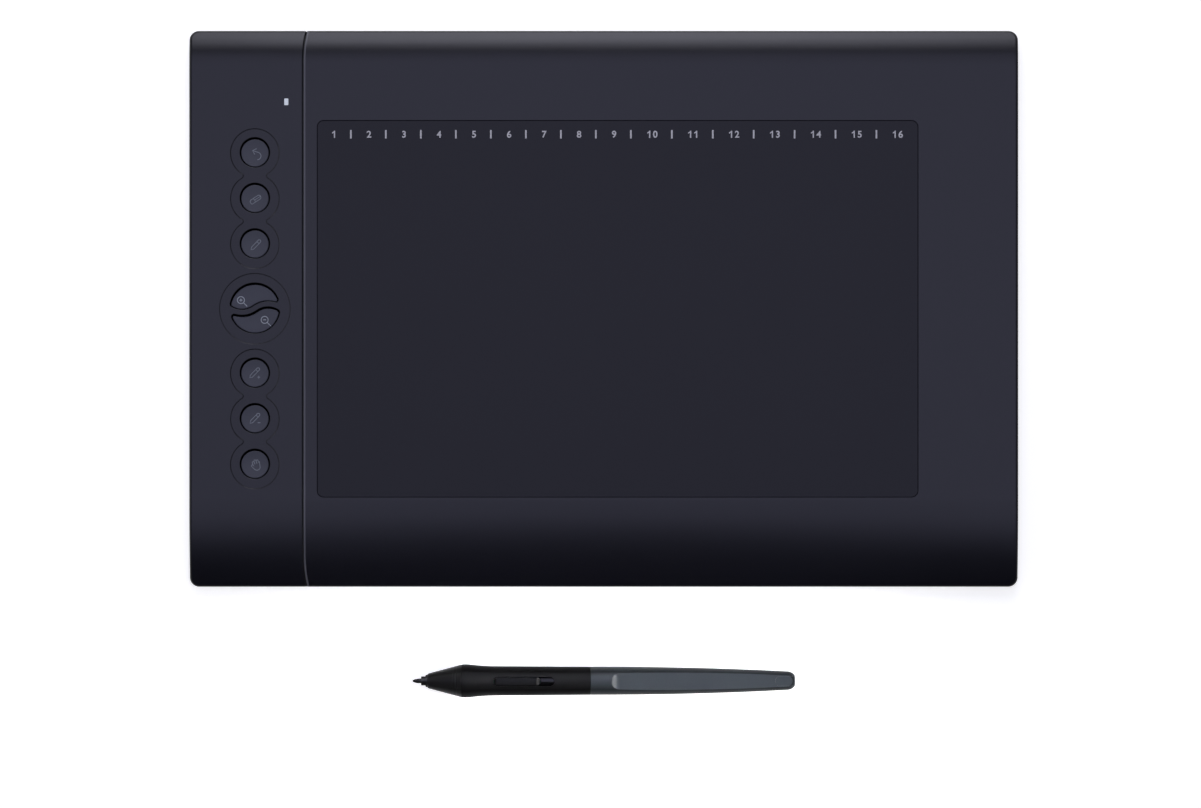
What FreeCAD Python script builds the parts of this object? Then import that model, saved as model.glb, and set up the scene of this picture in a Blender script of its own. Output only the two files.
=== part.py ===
# A drawing tablet lying on a desk, with its pen in front of it.
# Millimetres. X runs to the right, Y to the rear and Z up.
# The origin is on the desk, under the middle of the tablet.

import FreeCAD, Part
import math
import os

os.makedirs("parts", exist_ok=True)

Vector = FreeCAD.Vector

# Tablet, outer form
tablet_width = 353.0
tablet_depth = 237.0
tablet_height = 10.0
plan_corner_radius = 4.0
front_slope_length = 37.0
front_slope_drop = 4.0
rear_roll_length = 14.0
rear_roll_drop = 2.6
top_edge_radius = 1.2
bottom_edge_radius = 1.6
parting_height = 3.0
foot_stand_out = 0.8

# Walls of the covers, and the lip that locates them on each other
cover_wall = 1.8
bottom_wall = 1.4
lip_height = 0.8
lip_thickness = 1.0
lip_clearance = 0.1

# Seam between the key panel and the top cover
panel_width = 48.43
seam_gap = 0.3
seam_edge_radius = 0.4
seam_flare_length = 12.8
seam_flare_shift = 1.5
ledge_reach = 3.0
ledge_root = 2.0
ledge_thickness = 0.8
ledge_clearance = 0.1

# Drawing sheet and what lies under it
sheet_seam_margin = 6.27
sheet_right_margin = 42.9
sheet_slope_margin = 1.5
sheet_rear_margin = 38.5
sheet_thickness = 0.6
sheet_corner_radius = 2.6
sheet_clearance = 0.3
recess_depth = 0.9
sheet_groove_depth = 0.4
groove_bevel = 0.25
sensor_margin = 1.4
sensor_thickness = 1.0
shield_margin = 4.0
shield_thickness = 0.3
sensor_corner_radius = 1.5

# Keys, from the middle of the tablet outwards; their wells stand a little further to the rear
key_seam_inset = 20.43
key_pitch = 19.4
nearest_key = 27.5
keys_per_group = 3
round_key_radius = 5.85
key_clearance = 0.55
well_shift = 0.3
key_travel = 0.5
key_sink = 0.4
key_edge_radius = 0.3
round_hollow_depth = 0.4
well_edge_radius = 0.2
dish_depth = 0.5
dish_edge_radius = 0.35
dish_radius = 10.2
dish_cusp_radius = 1.17

# The two zoom keys, halves of one disc on both sides of an S curve
zoom_key_radius = 10.25
zoom_dish_radius = 14.9
zoom_bridge = 2.3
zoom_curve_chord = 11.1
zoom_curve_rise = 1.8
zoom_curve_overrun = 30.0
zoom_corner_radius = 0.7
zoom_hollow_depth = 0.5
zoom_hollow_shift = 5.2
zoom_switch_shift = 5.4

# Key flanges, guides and stems under the panel
flange_thickness = 0.8
flange_gap = 0.1
flange_overhang = 1.5
flange_flat = 0.8
zoom_flange_overhang = 1.4
zoom_flange_inner = 1.15
guide_clearance = 0.25
guide_thickness = 1.0
guide_height = 1.2
guide_rib = 0.6
guide_root = 0.45
stem_radius = 2.0

# Control board and what is on it
board_left_inset = 3.2
board_seam_inset = 3.63
board_front_inset = 34.5
board_rear_inset = 19.5
board_thickness = 1.0
board_corner_radius = 2.0
standoff_height = 0.8
standoff_radius = 2.4
board_screw_inset = 5.0
board_screw_radius = 0.9
board_screw_head_radius = 1.8
board_screw_head_height = 1.1
board_screw_length = 2.3
board_drive_length = 2.0
board_drive_width = 0.45
board_drive_depth = 0.5
board_hole_radius = 1.2
switch_size = 5.2
switch_height = 1.4
switch_corner_radius = 0.5
plunger_radius = 1.5
plunger_clearance = 0.1
plunger_stand_out = 0.6
plunger_root = 0.7
chip_size = 9.0
chip_height = 1.2
chip_shift = (-9.5, -27.5)
crystal_size = (3.2, 5.0)
crystal_height = 1.0
crystal_shift = (-10.5, -41.5)
connector_width = 20.0
connector_length = 4.0
connector_height = 1.6
connector_front_inset = 40.0
connector_inset = 0.4
flex_width = 16.0
flex_thickness = 0.3
flex_bend_start = 3.0
flex_land = 3.0

# Socket for the lead, in the left wall
socket_rear_inset = 40.5
socket_width = 7.65
socket_height = 2.6
socket_length = 6.2
socket_wall = 0.35
socket_recess = 0.3
socket_clearance = 0.2
tongue_width = 5.2
tongue_thickness = 0.6
tongue_setback = 0.8

# Status light
light_seam_inset = 7.03
light_rear_inset = 30.4
light_width = 1.7
light_length = 2.8
light_corner_radius = 0.3
light_clearance = 0.05
light_flange = 0.8
light_flange_thickness = 0.8
light_gap = 0.4
lamp_size = (1.6, 3.0)
lamp_height = 0.8

# Screws that hold the covers together
post_inset = 16.5
post_seam_inset = 18.0
panel_post_inset = 10.5
panel_post_end_inset = 12.5
post_radius = 3.0
boss_radius = 4.2
boss_height = 2.0
screw_head_radius = 2.6
screw_head_height = 1.3
screw_head_clearance = 0.3
screw_radius = 1.1
screw_hole_clearance = 0.3
screw_seat_height = 0.6
screw_length = 3.6
drive_length = 2.8
drive_width = 0.65
drive_depth = 0.7
pilot_depth = 2.5

# Ribs in the bottom cover
rib_thickness = 1.2
rib_columns = 6
rib_rows = 4
rib_margin = 8.0

# Rubber feet
foot_length = 24.0
foot_width = 9.0
foot_side_inset = 26.5
foot_end_inset = 27.5
foot_pocket = 0.4
foot_clearance = 0.1
foot_edge_bevel = 0.3

# Pen, outer form, measured along its axis from the tip of the nib
pen_length = 163.0
nib_tip_radius = 0.45
nib_tip_length = 0.3
nib_radius = 1.06
nib_taper_length = 2.4
nib_round = 0.1
nib_shown = 3.65
bush_front_radius = 1.98
bush_front_length = 1.9
bush_step_radius = 2.71
bush_step_length = 0.8
cone_front_radius = 3.11
cone_front_edge = 0.35
cone_length = 14.5
cone_rear_radius = 7.0
cone_groove_places = (2.2, 3.6)
cone_groove_width = 0.4
cone_groove_depth = 0.08
grip_length = 55.0
bulge_radius = 7.08
bulge_place = 1.8
bulge_turn_place = 4.2
waist_radius = 6.24
waist_place = 15.2
grip_rear_radius = 6.0
barrel_straight_length = 5.8
tail_radius = 4.0
tail_round_length = 3.4
tail_round_rise = 0.47
tail_end_radius = 2.3
pen_joint_bevel = 0.15
pen_distance = 40.0

# Pen, facet along the top of the rear barrel and the tongue of the tail plug
facet_start = 8.9
facet_ramp = 3.8
facet_drop_front = 1.12
facet_drop_rear = 0.76
tongue_front = 8.4
tail_tongue_width = 4.1
tail_tongue_depth = 1.0
tail_tongue_rise = 0.15
tail_tongue_gap = 0.1
tail_wrap_depth = 1.4
tail_wrap_low = 0.3

# Pen, side key in its slot
slot_place = 13.66
side_key_length = 19.5
side_key_width = 3.15
side_key_end_gap = 0.33
side_key_side_gap = 0.39
side_key_rise = 0.45
side_key_front_bevel = 1.1
side_key_rear_bevel = 1.65
side_key_bevel_drop = 1.1
side_key_slot_clearance = 0.25
side_channel_length = 5.74
side_key_plate_width = 4.1
side_key_plate_thickness = 0.7
side_key_plate_top = 3.1
side_key_tilt = 2.0
pivot_height = 2.1
pivot_radius = 0.5
pivot_clearance = 0.06
pivot_web = 1.8
pivot_ear_thickness = 0.7
pivot_ear_cap = 0.2
pivot_ear_gap = 0.2
pivot_ear_length = 2.2
side_switch_spacing = 10.2
side_switch_size = (2.6, 3.0)
side_switch_height = 1.2
side_plunger_radius = 0.7
side_plunger_height = 0.35
side_key_foot_clearance = 0.05

# Pen, inner pieces
front_barrel_radius = 5.2
front_barrel_wall = 1.0
spigot_length = 3.3
rear_spigot_length = 4.3
cone_wall = 1.5
bush_spigot_radius = 2.2
bush_spigot_length = 2.7
nib_clearance = 0.1
core_grip_inset = 0.25
core_length = 10.0
core_radius = 1.9
coil_margin = 1.0
coil_length = 6.4
coil_thickness = 0.7
nib_stem_radius = 0.8
nib_stem_grip = 2.6
holder_gap = 0.8
holder_length = 4.6
holder_radius = 1.7
nib_travel = 0.4
nib_stop_clearance = 0.1
force_sensor_length = 3.6
force_sensor_height = 3.6
bulkhead_length = 2.35
core_clearance = 0.2
carrier_clearance = 0.1
carrier_rim = 0.4
carrier_channel_width = 3.8
carrier_channel_depth = 2.0
pen_board_width = 5.4
pen_board_thickness = 0.8
pen_board_length = 39.0
pen_board_gap = 0.6
board_notch_clearance = 0.1
carrier_tail = 2.2
rear_bore_front = 3.6
rear_bore_rear = 2.1
rear_bore_end = 10.0

# Left straight at each rounded end, reach of cuts past what they cut, and steps along the pen
round_end_flat = 0.1
overcut = 1.0
beyond = 20.0
outline_steps = 400

# Heights and places that follow from the sizes above
base_z = foot_stand_out
floor_z = base_z + bottom_wall
ceiling_z = tablet_height - cover_wall
dish_z = tablet_height - dish_depth
sheet_seat_z = tablet_height - recess_depth
sensor_z = ceiling_z - sensor_thickness
shield_z = sensor_z - shield_thickness
board_z = floor_z + standoff_height
board_top = board_z + board_thickness
flange_top = ceiling_z - flange_gap
flange_low = flange_top - flange_thickness
plunger_top = board_top + switch_height + plunger_stand_out
key_top = dish_z - key_sink
right_x = tablet_width / 2
left_x = -right_x
rear_y = tablet_depth / 2
front_y = -rear_y
seam_x = left_x + panel_width
key_x = seam_x - key_seam_inset
seam_straight_y = rear_y - seam_flare_length
sheet_left = seam_x + sheet_seam_margin
sheet_right = right_x - sheet_right_margin
sheet_front = front_y + front_slope_length + sheet_slope_margin
sheet_rear = rear_y - sheet_rear_margin
light_x = seam_x - light_seam_inset
light_y = rear_y - light_rear_inset
board_left = left_x + board_left_inset
board_right = seam_x - board_seam_inset
board_front = front_y + board_front_inset
board_rear = rear_y - board_rear_inset
connector_y = board_front + connector_front_inset
socket_y = rear_y - socket_rear_inset
boss_top = floor_z + boss_height
screw_seat = floor_z + screw_seat_height
inner_inset = cover_wall + lip_clearance + lip_thickness


def save(name, shape):
    """Write one sub-part, as one solid or as a group of equal solids."""
    solids = shape.Solids
    kept = solids[0] if len(solids) == 1 else Part.makeCompound(solids)
    kept.exportStep("parts/" + name + ".step")
    print(name, len(solids), round(kept.Volume, 2), kept.isValid())


def upright_edges(solid):
    """The edges that run straight up and down."""
    found = []
    for edge in solid.Edges:
        box = edge.BoundBox
        if box.XLength < 1e-4 and box.YLength < 1e-4:
            found.append(edge)
    return found


def plate(length, depth, low, high, radius=0.0, x=0.0, y=0.0):
    """A block with rounded corners in plan, centred on x and y."""
    corner = Vector(x - length / 2, y - depth / 2, low)
    block = Part.makeBox(length, depth, high - low, corner)
    if radius > 0:
        block = block.makeFillet(radius, upright_edges(block))
    return block


def rounded_bar(length, width, low, high, x=0.0, y=0.0):
    """A block along X with rounded ends in plan."""
    return plate(length, width, low, high, width / 2 - round_end_flat, x, y)


def disc(radius, low, high, x=0.0, y=0.0):
    """An upright cylinder."""
    return Part.makeCylinder(radius, high - low, Vector(x, y, low))


def joined(shapes):
    """One solid from several that touch or overlap."""
    return shapes[0].multiFuse(shapes[1:]).removeSplitter()


def turned(shape, degrees, x, y):
    """A copy of the shape turned about an upright axis."""
    copy = shape.copy()
    copy.rotate(Vector(x, y, 0), Vector(0, 0, 1), degrees)
    return copy


def arc_edge(points):
    """An arc through three points."""
    return Part.Arc(*points).toShape()


def line_edge(first, last):
    """A straight edge."""
    return Part.LineSegment(first, last).toShape()


def prism(edges, height):
    """A solid that stands on a level outline."""
    return Part.Face(Part.Wire(edges)).extrude(Vector(0, 0, height))


def arc_radius(length, drop):
    """Radius of an arc that starts level and falls by drop over length."""
    return (length ** 2 + drop ** 2) / (2 * drop)


def arc_drop(radius, length):
    """How far an arc that starts level has fallen after length."""
    return radius - math.sqrt(radius ** 2 - length ** 2)


# Tablet covers


def corner_at(inset):
    """Corner radius in plan of a wall that lies inset from the outside."""
    return plan_corner_radius - inset / 2


def falling_arc(start_y, end_y, radius, inset):
    """Three points of the top surface from where it starts to fall to its edge."""
    points = []
    for y in (start_y, (start_y + end_y) / 2, end_y):
        z = tablet_height - radius + math.sqrt((radius - inset) ** 2 - (y - start_y) ** 2)
        points.append(Vector(left_x + inset, y, z))
    return points


def cover_section(inset):
    """Side view of the tablet down to its base, moved in by inset."""
    slope_radius = arc_radius(front_slope_length, front_slope_drop)
    roll_radius = arc_radius(rear_roll_length, rear_roll_drop)
    slope = falling_arc(front_y + front_slope_length, front_y + inset, slope_radius, inset)
    roll = falling_arc(rear_y - rear_roll_length, rear_y - inset, roll_radius, inset)
    front_low = Vector(left_x + inset, front_y + inset, base_z)
    rear_low = Vector(left_x + inset, rear_y - inset, base_z)
    edges = [
        arc_edge(slope),
        line_edge(slope[0], roll[0]),
        arc_edge(roll),
        line_edge(roll[2], rear_low),
        line_edge(rear_low, front_low),
        line_edge(front_low, slope[2]),
    ]
    return Part.Face(Part.Wire(Part.__sortEdges__(edges)))


def tablet_block(inset):
    """The tablet's outer form moved in by inset, with a flat base."""
    length = tablet_width - 2 * inset
    depth = tablet_depth - 2 * inset
    body = cover_section(inset).extrude(Vector(length, 0, 0))
    return body.common(plate(length, depth, base_z, tablet_height, corner_at(inset)))


def rim_edges(body):
    """The edges round the top surface, without those that cross it."""
    found = []
    for edge in body.Edges:
        middle = edge.BoundBox.Center
        near_side = abs(middle.x) > right_x - plan_corner_radius
        near_end = abs(middle.y) > rear_y - plan_corner_radius
        if edge.BoundBox.ZMin > parting_height and (near_side or near_end):
            found.append(edge)
    return found


def cover_shell():
    """Both top mouldings as one shell, open at the bottom."""
    outside = tablet_block(0)
    outside = outside.makeFillet(top_edge_radius, rim_edges(outside))
    length = tablet_width + 2 * overcut
    above = plate(length, tablet_depth + 2 * overcut, parting_height, tablet_height + overcut)
    return outside.common(above).cut(tablet_block(cover_wall))


def seam_arc(offset, rearward):
    """Three points of one flared end of the seam, from its outer end to its straight part."""
    radius = arc_radius(seam_flare_length, seam_flare_shift)
    centre_x = seam_x + radius
    turn = math.asin((seam_flare_length + overcut) / (radius - offset))
    points = []
    for share in (1.0, 0.5, 0.0):
        x = centre_x - (radius - offset) * math.cos(turn * share)
        y = seam_straight_y + (radius - offset) * math.sin(turn * share)
        points.append(Vector(x, y * rearward, 0))
    return points


def seam_side(offset, side_x):
    """Everything on one side of the seam line, which is moved to the right by offset."""
    front = seam_arc(offset, -1)
    rear = seam_arc(offset, 1)
    front_corner = Vector(side_x, front[0].y, 0)
    rear_corner = Vector(side_x, rear[0].y, 0)
    edges = [
        arc_edge(front),
        line_edge(front[2], rear[2]),
        arc_edge(rear),
        line_edge(rear[0], rear_corner),
        line_edge(rear_corner, front_corner),
        line_edge(front_corner, front[0]),
    ]
    return prism(Part.__sortEdges__(edges), tablet_height + overcut)


def seam_edges(body, offset):
    """The long top edge along one side of the seam."""
    found = []
    for edge in body.Edges:
        box = edge.BoundBox
        level = box.ZMin > tablet_height - 0.01
        if level and box.YLength > tablet_depth / 3 and abs(box.Center.x - seam_x - offset) < 0.01:
            found.append(edge)
    return found


def post_places():
    """Places of the screws, as x and y."""
    first = seam_x + post_seam_inset
    last = right_x - post_inset
    places = [(last, 0.0)]
    for x in (first, (first + last) / 2, last):
        places += [(x, front_y + post_inset), (x, rear_y - post_inset)]
    for x in (left_x + panel_post_inset, seam_x - panel_post_inset):
        places += [(x, front_y + panel_post_end_inset), (x, rear_y - panel_post_end_inset)]
    return places


def with_posts(cover, right_of_seam):
    """Add the screw posts under a cover, each with its pilot hole."""
    places = [place for place in post_places() if (place[0] > seam_x) == right_of_seam]
    inside_wall = tablet_block(cover_wall / 2)
    parts = [cover]
    for x, y in places:
        parts.append(disc(post_radius, boss_top, tablet_height, x, y).common(inside_wall))
    cover = joined(parts)
    for x, y in places:
        cover = cover.cut(disc(screw_radius, boss_top, boss_top + pilot_depth, x, y))
    return cover


def seam_ledge():
    """Ledge under the seam, which the key panel lies on."""
    low = tablet_block(cover_wall + ledge_clearance + ledge_thickness)
    shelf = tablet_block(cover_wall + ledge_clearance).cut(low)
    shelf = shelf.common(seam_side(ledge_root, left_x)).cut(seam_side(-ledge_reach, left_x))
    root = tablet_block(cover_wall / 2).cut(low)
    root = root.common(seam_side(ledge_root, left_x)).cut(seam_side(seam_gap / 2, left_x))
    above_lip = parting_height + lip_height + ledge_clearance
    above = plate(tablet_width, tablet_depth, above_lip, tablet_height)
    return joined([shelf, root]).common(above)


def top_cover(shell):
    """The large cover to the right of the seam, with the grooved recess of the drawing sheet."""
    cover = shell.common(seam_side(seam_gap / 2, right_x + overcut))
    cover = cover.makeFillet(seam_edge_radius, seam_edges(cover, seam_gap / 2))
    corner = sheet_corner_radius + sheet_clearance
    groove_z = sheet_seat_z - sheet_groove_depth
    recess = sheet_plate(sheet_clearance, groove_z, tablet_height + overcut, corner)
    recess = recess.makeChamfer(groove_bevel, low_edges(recess, groove_z))
    seat = sheet_plate(0, groove_z - overcut, sheet_seat_z, sheet_corner_radius)
    return with_posts(joined([cover, seam_ledge()]).cut(recess.cut(seat)), True)


def sheet_plate(grow, low, high, corner):
    """A plate with the drawing sheet's outline, grown on all sides."""
    length = sheet_right - sheet_left + 2 * grow
    depth = sheet_rear - sheet_front + 2 * grow
    x = (sheet_left + sheet_right) / 2
    return plate(length, depth, low, high, corner, x, (sheet_front + sheet_rear) / 2)


def drawing_sheet():
    """The sheet that the pen moves on."""
    return sheet_plate(0, sheet_seat_z, sheet_seat_z + sheet_thickness, sheet_corner_radius)


# Keys and their panel


def round_key_places():
    """Places of the round keys, from the rear to the front."""
    offsets = [nearest_key + key_pitch * i for i in range(keys_per_group)]
    return sorted(offsets + [-offset for offset in offsets], reverse=True)


def zoom_region(offset, low, high):
    """All that lies to the rear of the S curve, which is moved to the rear by offset."""
    half_chord = zoom_curve_chord / 2
    radius = arc_radius(half_chord, zoom_curve_rise)
    half_turn = math.asin(half_chord / radius)
    far_turn = half_turn + math.radians(zoom_curve_overrun)
    centre_y = radius * math.cos(half_turn)
    left = []
    right = []
    for turn in (-far_turn, (half_turn - far_turn) / 2, half_turn):
        x = (radius - offset) * math.sin(turn) - half_chord
        left.append(Vector(x, centre_y - (radius - offset) * math.cos(turn), low))
    for turn in (-half_turn, (far_turn - half_turn) / 2, far_turn):
        x = (radius + offset) * math.sin(turn) + half_chord
        right.append(Vector(x, (radius + offset) * math.cos(turn) - centre_y, low))
    rear_right = Vector(right[2].x, zoom_dish_radius + beyond, low)
    rear_left = Vector(left[0].x, zoom_dish_radius + beyond, low)
    edges = [
        arc_edge(left),
        arc_edge(right),
        line_edge(right[2], rear_right),
        line_edge(rear_right, rear_left),
        line_edge(rear_left, left[0]),
    ]
    return prism(edges, high - low)


def zoom_half(radius, offset, corner, low, high):
    """The rear half of the divided disc, with its two corners rounded."""
    half = disc(radius, low, high).common(zoom_region(offset, low, high))
    on_rim = []
    for edge in upright_edges(half):
        middle = edge.BoundBox.Center
        if math.hypot(middle.x, middle.y) > radius - 0.01:
            on_rim.append(edge)
    half = half.makeFillet(corner, on_rim)
    half.translate(Vector(key_x, 0, 0))
    return half


def dish(radius, places, low, high):
    """A sunk field round some keys, with rounded necks between them."""
    field = joined([disc(radius, low, high, key_x, y) for y in places])
    necks = []
    for edge in upright_edges(field):
        if abs(edge.BoundBox.Center.x - key_x) < radius - 0.01:
            necks.append(edge)
    if necks:
        field = field.makeFillet(dish_cusp_radius, necks)
    return field


def flange(grow, low, high, y):
    """Flange of a round key, with a flat that keeps the key from turning."""
    radius = round_key_radius + flange_overhang + grow
    flat_x = key_x + round_key_radius + flange_overhang - flange_flat + grow
    side = Part.makeBox(beyond, 4 * radius, high - low, Vector(flat_x, y - 2 * radius, low))
    return disc(radius, low, high, key_x, y).cut(side)


def zoom_flange(low, high):
    """Flange of the rear zoom key."""
    offset = zoom_bridge / 2 + key_clearance - zoom_flange_inner
    return zoom_half(zoom_key_radius + zoom_flange_overhang, offset, zoom_corner_radius, low, high)


def key_guides():
    """Walls under the key panel that guide the flanges."""
    low = ceiling_z - guide_height
    high = ceiling_z + guide_root
    guides = []
    for y in round_key_places():
        outside = flange(guide_clearance + guide_thickness, low, high, y)
        guides.append(outside.cut(flange(guide_clearance, low, high, y)))
    inner = zoom_key_radius + zoom_flange_overhang + guide_clearance
    outside = disc(inner + guide_thickness, low, high, key_x)
    guides.append(outside.cut(disc(inner, low, high, key_x)))
    rib = disc(inner + guide_thickness / 2, low, high).common(zoom_region(-guide_rib / 2, low, high))
    rib = rib.cut(zoom_region(guide_rib / 2, low, high))
    rib.translate(Vector(key_x, 0, 0))
    guides.append(rib)
    return guides


def edges_at(body, level, radius, y):
    """The level edges at one height, within a radius of a key's centre."""
    found = []
    for edge in body.Edges:
        box = edge.BoundBox
        flat = box.ZLength < 1e-4 and abs(box.ZMin - level) < 1e-3
        far_x = max(abs(box.XMin - key_x), abs(box.XMax - key_x))
        far_y = max(abs(box.YMin - y), abs(box.YMax - y))
        if flat and max(far_x, far_y) < radius + 0.01:
            found.append(edge)
    return found


def light_hole(grow, low, high):
    """The status light's window, grown on all sides."""
    length = light_width + 2 * grow
    depth = light_length + 2 * grow
    return plate(length, depth, low, high, light_corner_radius + grow, light_x, light_y)


def socket_hole(low, high, grow):
    """The way through the left wall for the socket."""
    width = socket_width + 2 * grow
    corner = Vector(left_x - overcut, socket_y - width / 2, low)
    return Part.makeBox(inner_inset + 2 * overcut, width, high - low, corner)


def key_panel(shell):
    """The strip to the left of the seam, with the dishes, wells and guides of the keys."""
    panel = shell.common(seam_side(-seam_gap / 2, left_x - overcut))
    panel = panel.makeFillet(seam_edge_radius, seam_edges(panel, -seam_gap / 2))
    panel = joined([panel] + key_guides())
    above = tablet_height + overcut
    places = round_key_places()
    panel = panel.cut(dish(dish_radius, places[:keys_per_group], dish_z, above))
    panel = panel.cut(dish(dish_radius, places[keys_per_group:], dish_z, above))
    panel = panel.cut(dish(zoom_dish_radius, [0.0], dish_z, above))
    group_y = nearest_key + key_pitch * (keys_per_group - 1) / 2
    group_reach = dish_radius + key_pitch * (keys_per_group - 1) / 2
    rims = edges_at(panel, tablet_height, zoom_dish_radius, 0)
    for y in (group_y, -group_y):
        rims += edges_at(panel, tablet_height, group_reach, y)
    panel = panel.makeFillet(dish_edge_radius, rims)
    low = ceiling_z - overcut
    well_radius = round_key_radius + key_clearance
    zoom_radius = zoom_key_radius + key_clearance
    for y in places:
        panel = panel.cut(disc(well_radius, low, above, key_x, y + well_shift))
    well = zoom_half(zoom_radius, zoom_bridge / 2, zoom_corner_radius + key_clearance, low, above)
    wells = Part.makeCompound([well, turned(well, 180, key_x, 0)])
    wells.translate(Vector(0, well_shift, 0))
    panel = panel.cut(wells)
    rounded = edges_at(panel, dish_z, zoom_radius, well_shift)
    for y in places:
        rounded += edges_at(panel, dish_z, well_radius, y + well_shift)
    panel = panel.makeFillet(well_edge_radius, rounded)
    panel = panel.cut(light_hole(light_clearance, low, above))
    port_low = board_top - socket_clearance
    port_high = board_top + socket_height + socket_clearance
    panel = panel.cut(socket_hole(port_low, port_high, socket_clearance))
    return with_posts(panel, False)


def hollowed(cap):
    """Sink the finger hollow into the rear zoom key's top, and round the edge that is left."""
    radius = arc_radius(zoom_key_radius, zoom_hollow_depth)
    centre = Vector(key_x, zoom_hollow_shift, key_top - zoom_hollow_depth + radius)
    cap = cap.cut(Part.makeSphere(radius, centre))
    rim = []
    for face in cap.Faces:
        if isinstance(face.Surface, Part.Sphere):
            rim += [edge for edge in face.Edges if not edge.isSeam(face) and not edge.Degenerated]
    return cap.makeFillet(key_edge_radius, rim)


def round_cap(y):
    """The cap of a round key, with its finger hollow and rounded rim."""
    rim = round_key_radius - key_edge_radius
    hollow = arc_radius(rim, round_hollow_depth)
    middle_z = key_top - round_hollow_depth + arc_drop(hollow, rim / 2)
    lowest = Vector(key_x, y, key_top - round_hollow_depth)
    rim_top = Vector(key_x + rim, y, key_top)
    turn = key_edge_radius * math.sqrt(0.5)
    rim_middle = Vector(key_x + rim + turn, y, key_top - key_edge_radius + turn)
    rim_side = Vector(key_x + round_key_radius, y, key_top - key_edge_radius)
    side_low = Vector(key_x + round_key_radius, y, flange_low)
    axis_low = Vector(key_x, y, flange_low)
    outline = Part.Wire([
        arc_edge([lowest, Vector(key_x + rim / 2, y, middle_z), rim_top]),
        arc_edge([rim_top, rim_middle, rim_side]),
        line_edge(rim_side, side_low),
        line_edge(side_low, axis_low),
        line_edge(axis_low, lowest),
    ])
    return Part.Face(outline).revolve(axis_low, Vector(0, 0, 1), 360)


def round_key(y):
    """A round key with its flange, and the stem that pushes the switch."""
    stem = disc(stem_radius, plunger_top, flange_low, key_x, y)
    return joined([round_cap(y), flange(0, flange_low, flange_top, y), stem])


def zoom_key():
    """The rear zoom key; the front one is the same key turned half round."""
    offset = zoom_bridge / 2 + key_clearance
    cap = zoom_half(zoom_key_radius, offset, zoom_corner_radius, flange_low, key_top)
    cap = hollowed(cap)
    stem = disc(stem_radius, plunger_top, flange_low, key_x, zoom_switch_shift)
    return joined([cap, zoom_flange(flange_low, flange_top), stem])


def switch_places():
    """Places of the switches along the key column."""
    return round_key_places() + [zoom_switch_shift, -zoom_switch_shift]


def switch_housing(y):
    """Housing of one push switch, with the bore of its plunger."""
    top = board_top + switch_height
    body = plate(switch_size, switch_size, board_top, top, switch_corner_radius, key_x, y)
    bore_low = board_top + plunger_root - key_travel - plunger_clearance
    return body.cut(disc(plunger_radius + plunger_clearance, bore_low, top, key_x, y))


def plunger(y):
    """The round plunger of one push switch."""
    return disc(plunger_radius, board_top + plunger_root, plunger_top, key_x, y)


# Boards and what is on them


def sensor_board():
    """The board under the drawing sheet that senses the pen."""
    return sheet_plate(sensor_margin, sensor_z, ceiling_z, sensor_corner_radius)


def shield_plate():
    """The metal plate behind the sensor board."""
    return sheet_plate(sensor_margin - shield_margin, shield_z, sensor_z, sensor_corner_radius)


def board_centre():
    """The middle of the control board."""
    return (board_left + board_right) / 2, (board_front + board_rear) / 2


def board_corners():
    """Places of the control board's screws."""
    sides = (board_left + board_screw_inset, board_right - board_screw_inset)
    ends = (board_front + board_screw_inset, board_rear - board_screw_inset)
    return [(x, y) for x in sides for y in ends]


def board_rests():
    """Places of the plain standoffs under the middle of the control board."""
    y = board_centre()[1]
    return [(board_left + board_screw_inset, y), (board_right - board_screw_inset, y)]


def control_board():
    """The board under the keys, with its screw holes."""
    x, y = board_centre()
    length = board_right - board_left
    board = plate(length, board_rear - board_front, board_z, board_top, board_corner_radius, x, y)
    for hole_x, hole_y in board_corners():
        board = board.cut(disc(board_hole_radius, board_z, board_top, hole_x, hole_y))
    return board


def cross_drive(length, width, low, high, x, y):
    """The crossed slots in a screw's head."""
    return joined([plate(length, width, low, high, 0, x, y), plate(width, length, low, high, 0, x, y)])


def board_screws():
    """The screws that hold the control board."""
    head_top = board_top + board_screw_head_height
    drive_low = head_top - board_drive_depth
    screws = []
    for x, y in board_corners():
        head = disc(board_screw_head_radius, board_top, head_top, x, y)
        shank = disc(board_screw_radius, board_top - board_screw_length, board_top, x, y)
        drive = cross_drive(board_drive_length, board_drive_width, drive_low, head_top + overcut, x, y)
        screws.append(joined([head, shank]).cut(drive))
    return Part.makeCompound(screws)


def chips():
    """The controller and its crystal."""
    x, y = board_centre()
    parts = []
    for size, height, shift in (
        ((chip_size, chip_size), chip_height, chip_shift),
        (crystal_size, crystal_height, crystal_shift),
    ):
        top = board_top + height
        parts.append(plate(size[0], size[1], board_top, top, 0, x + shift[0], y + shift[1]))
    return Part.makeCompound(parts)


def lamp():
    """The lamp of the status light."""
    return plate(lamp_size[0], lamp_size[1], board_top, board_top + lamp_height, 0, light_x, light_y)


def status_window():
    """The clear piece that brings the lamp's light to the top."""
    pipe = light_hole(0, board_top + lamp_height + light_gap, tablet_height)
    collar = light_hole(light_flange, ceiling_z - light_flange_thickness, ceiling_z)
    return joined([pipe, collar])


def flex_connector():
    """The connector on the control board for the flat cable."""
    x = board_right - connector_inset - connector_length / 2
    top = board_top + connector_height
    return plate(connector_length, connector_width, board_top, top, 0, x, connector_y)


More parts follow.
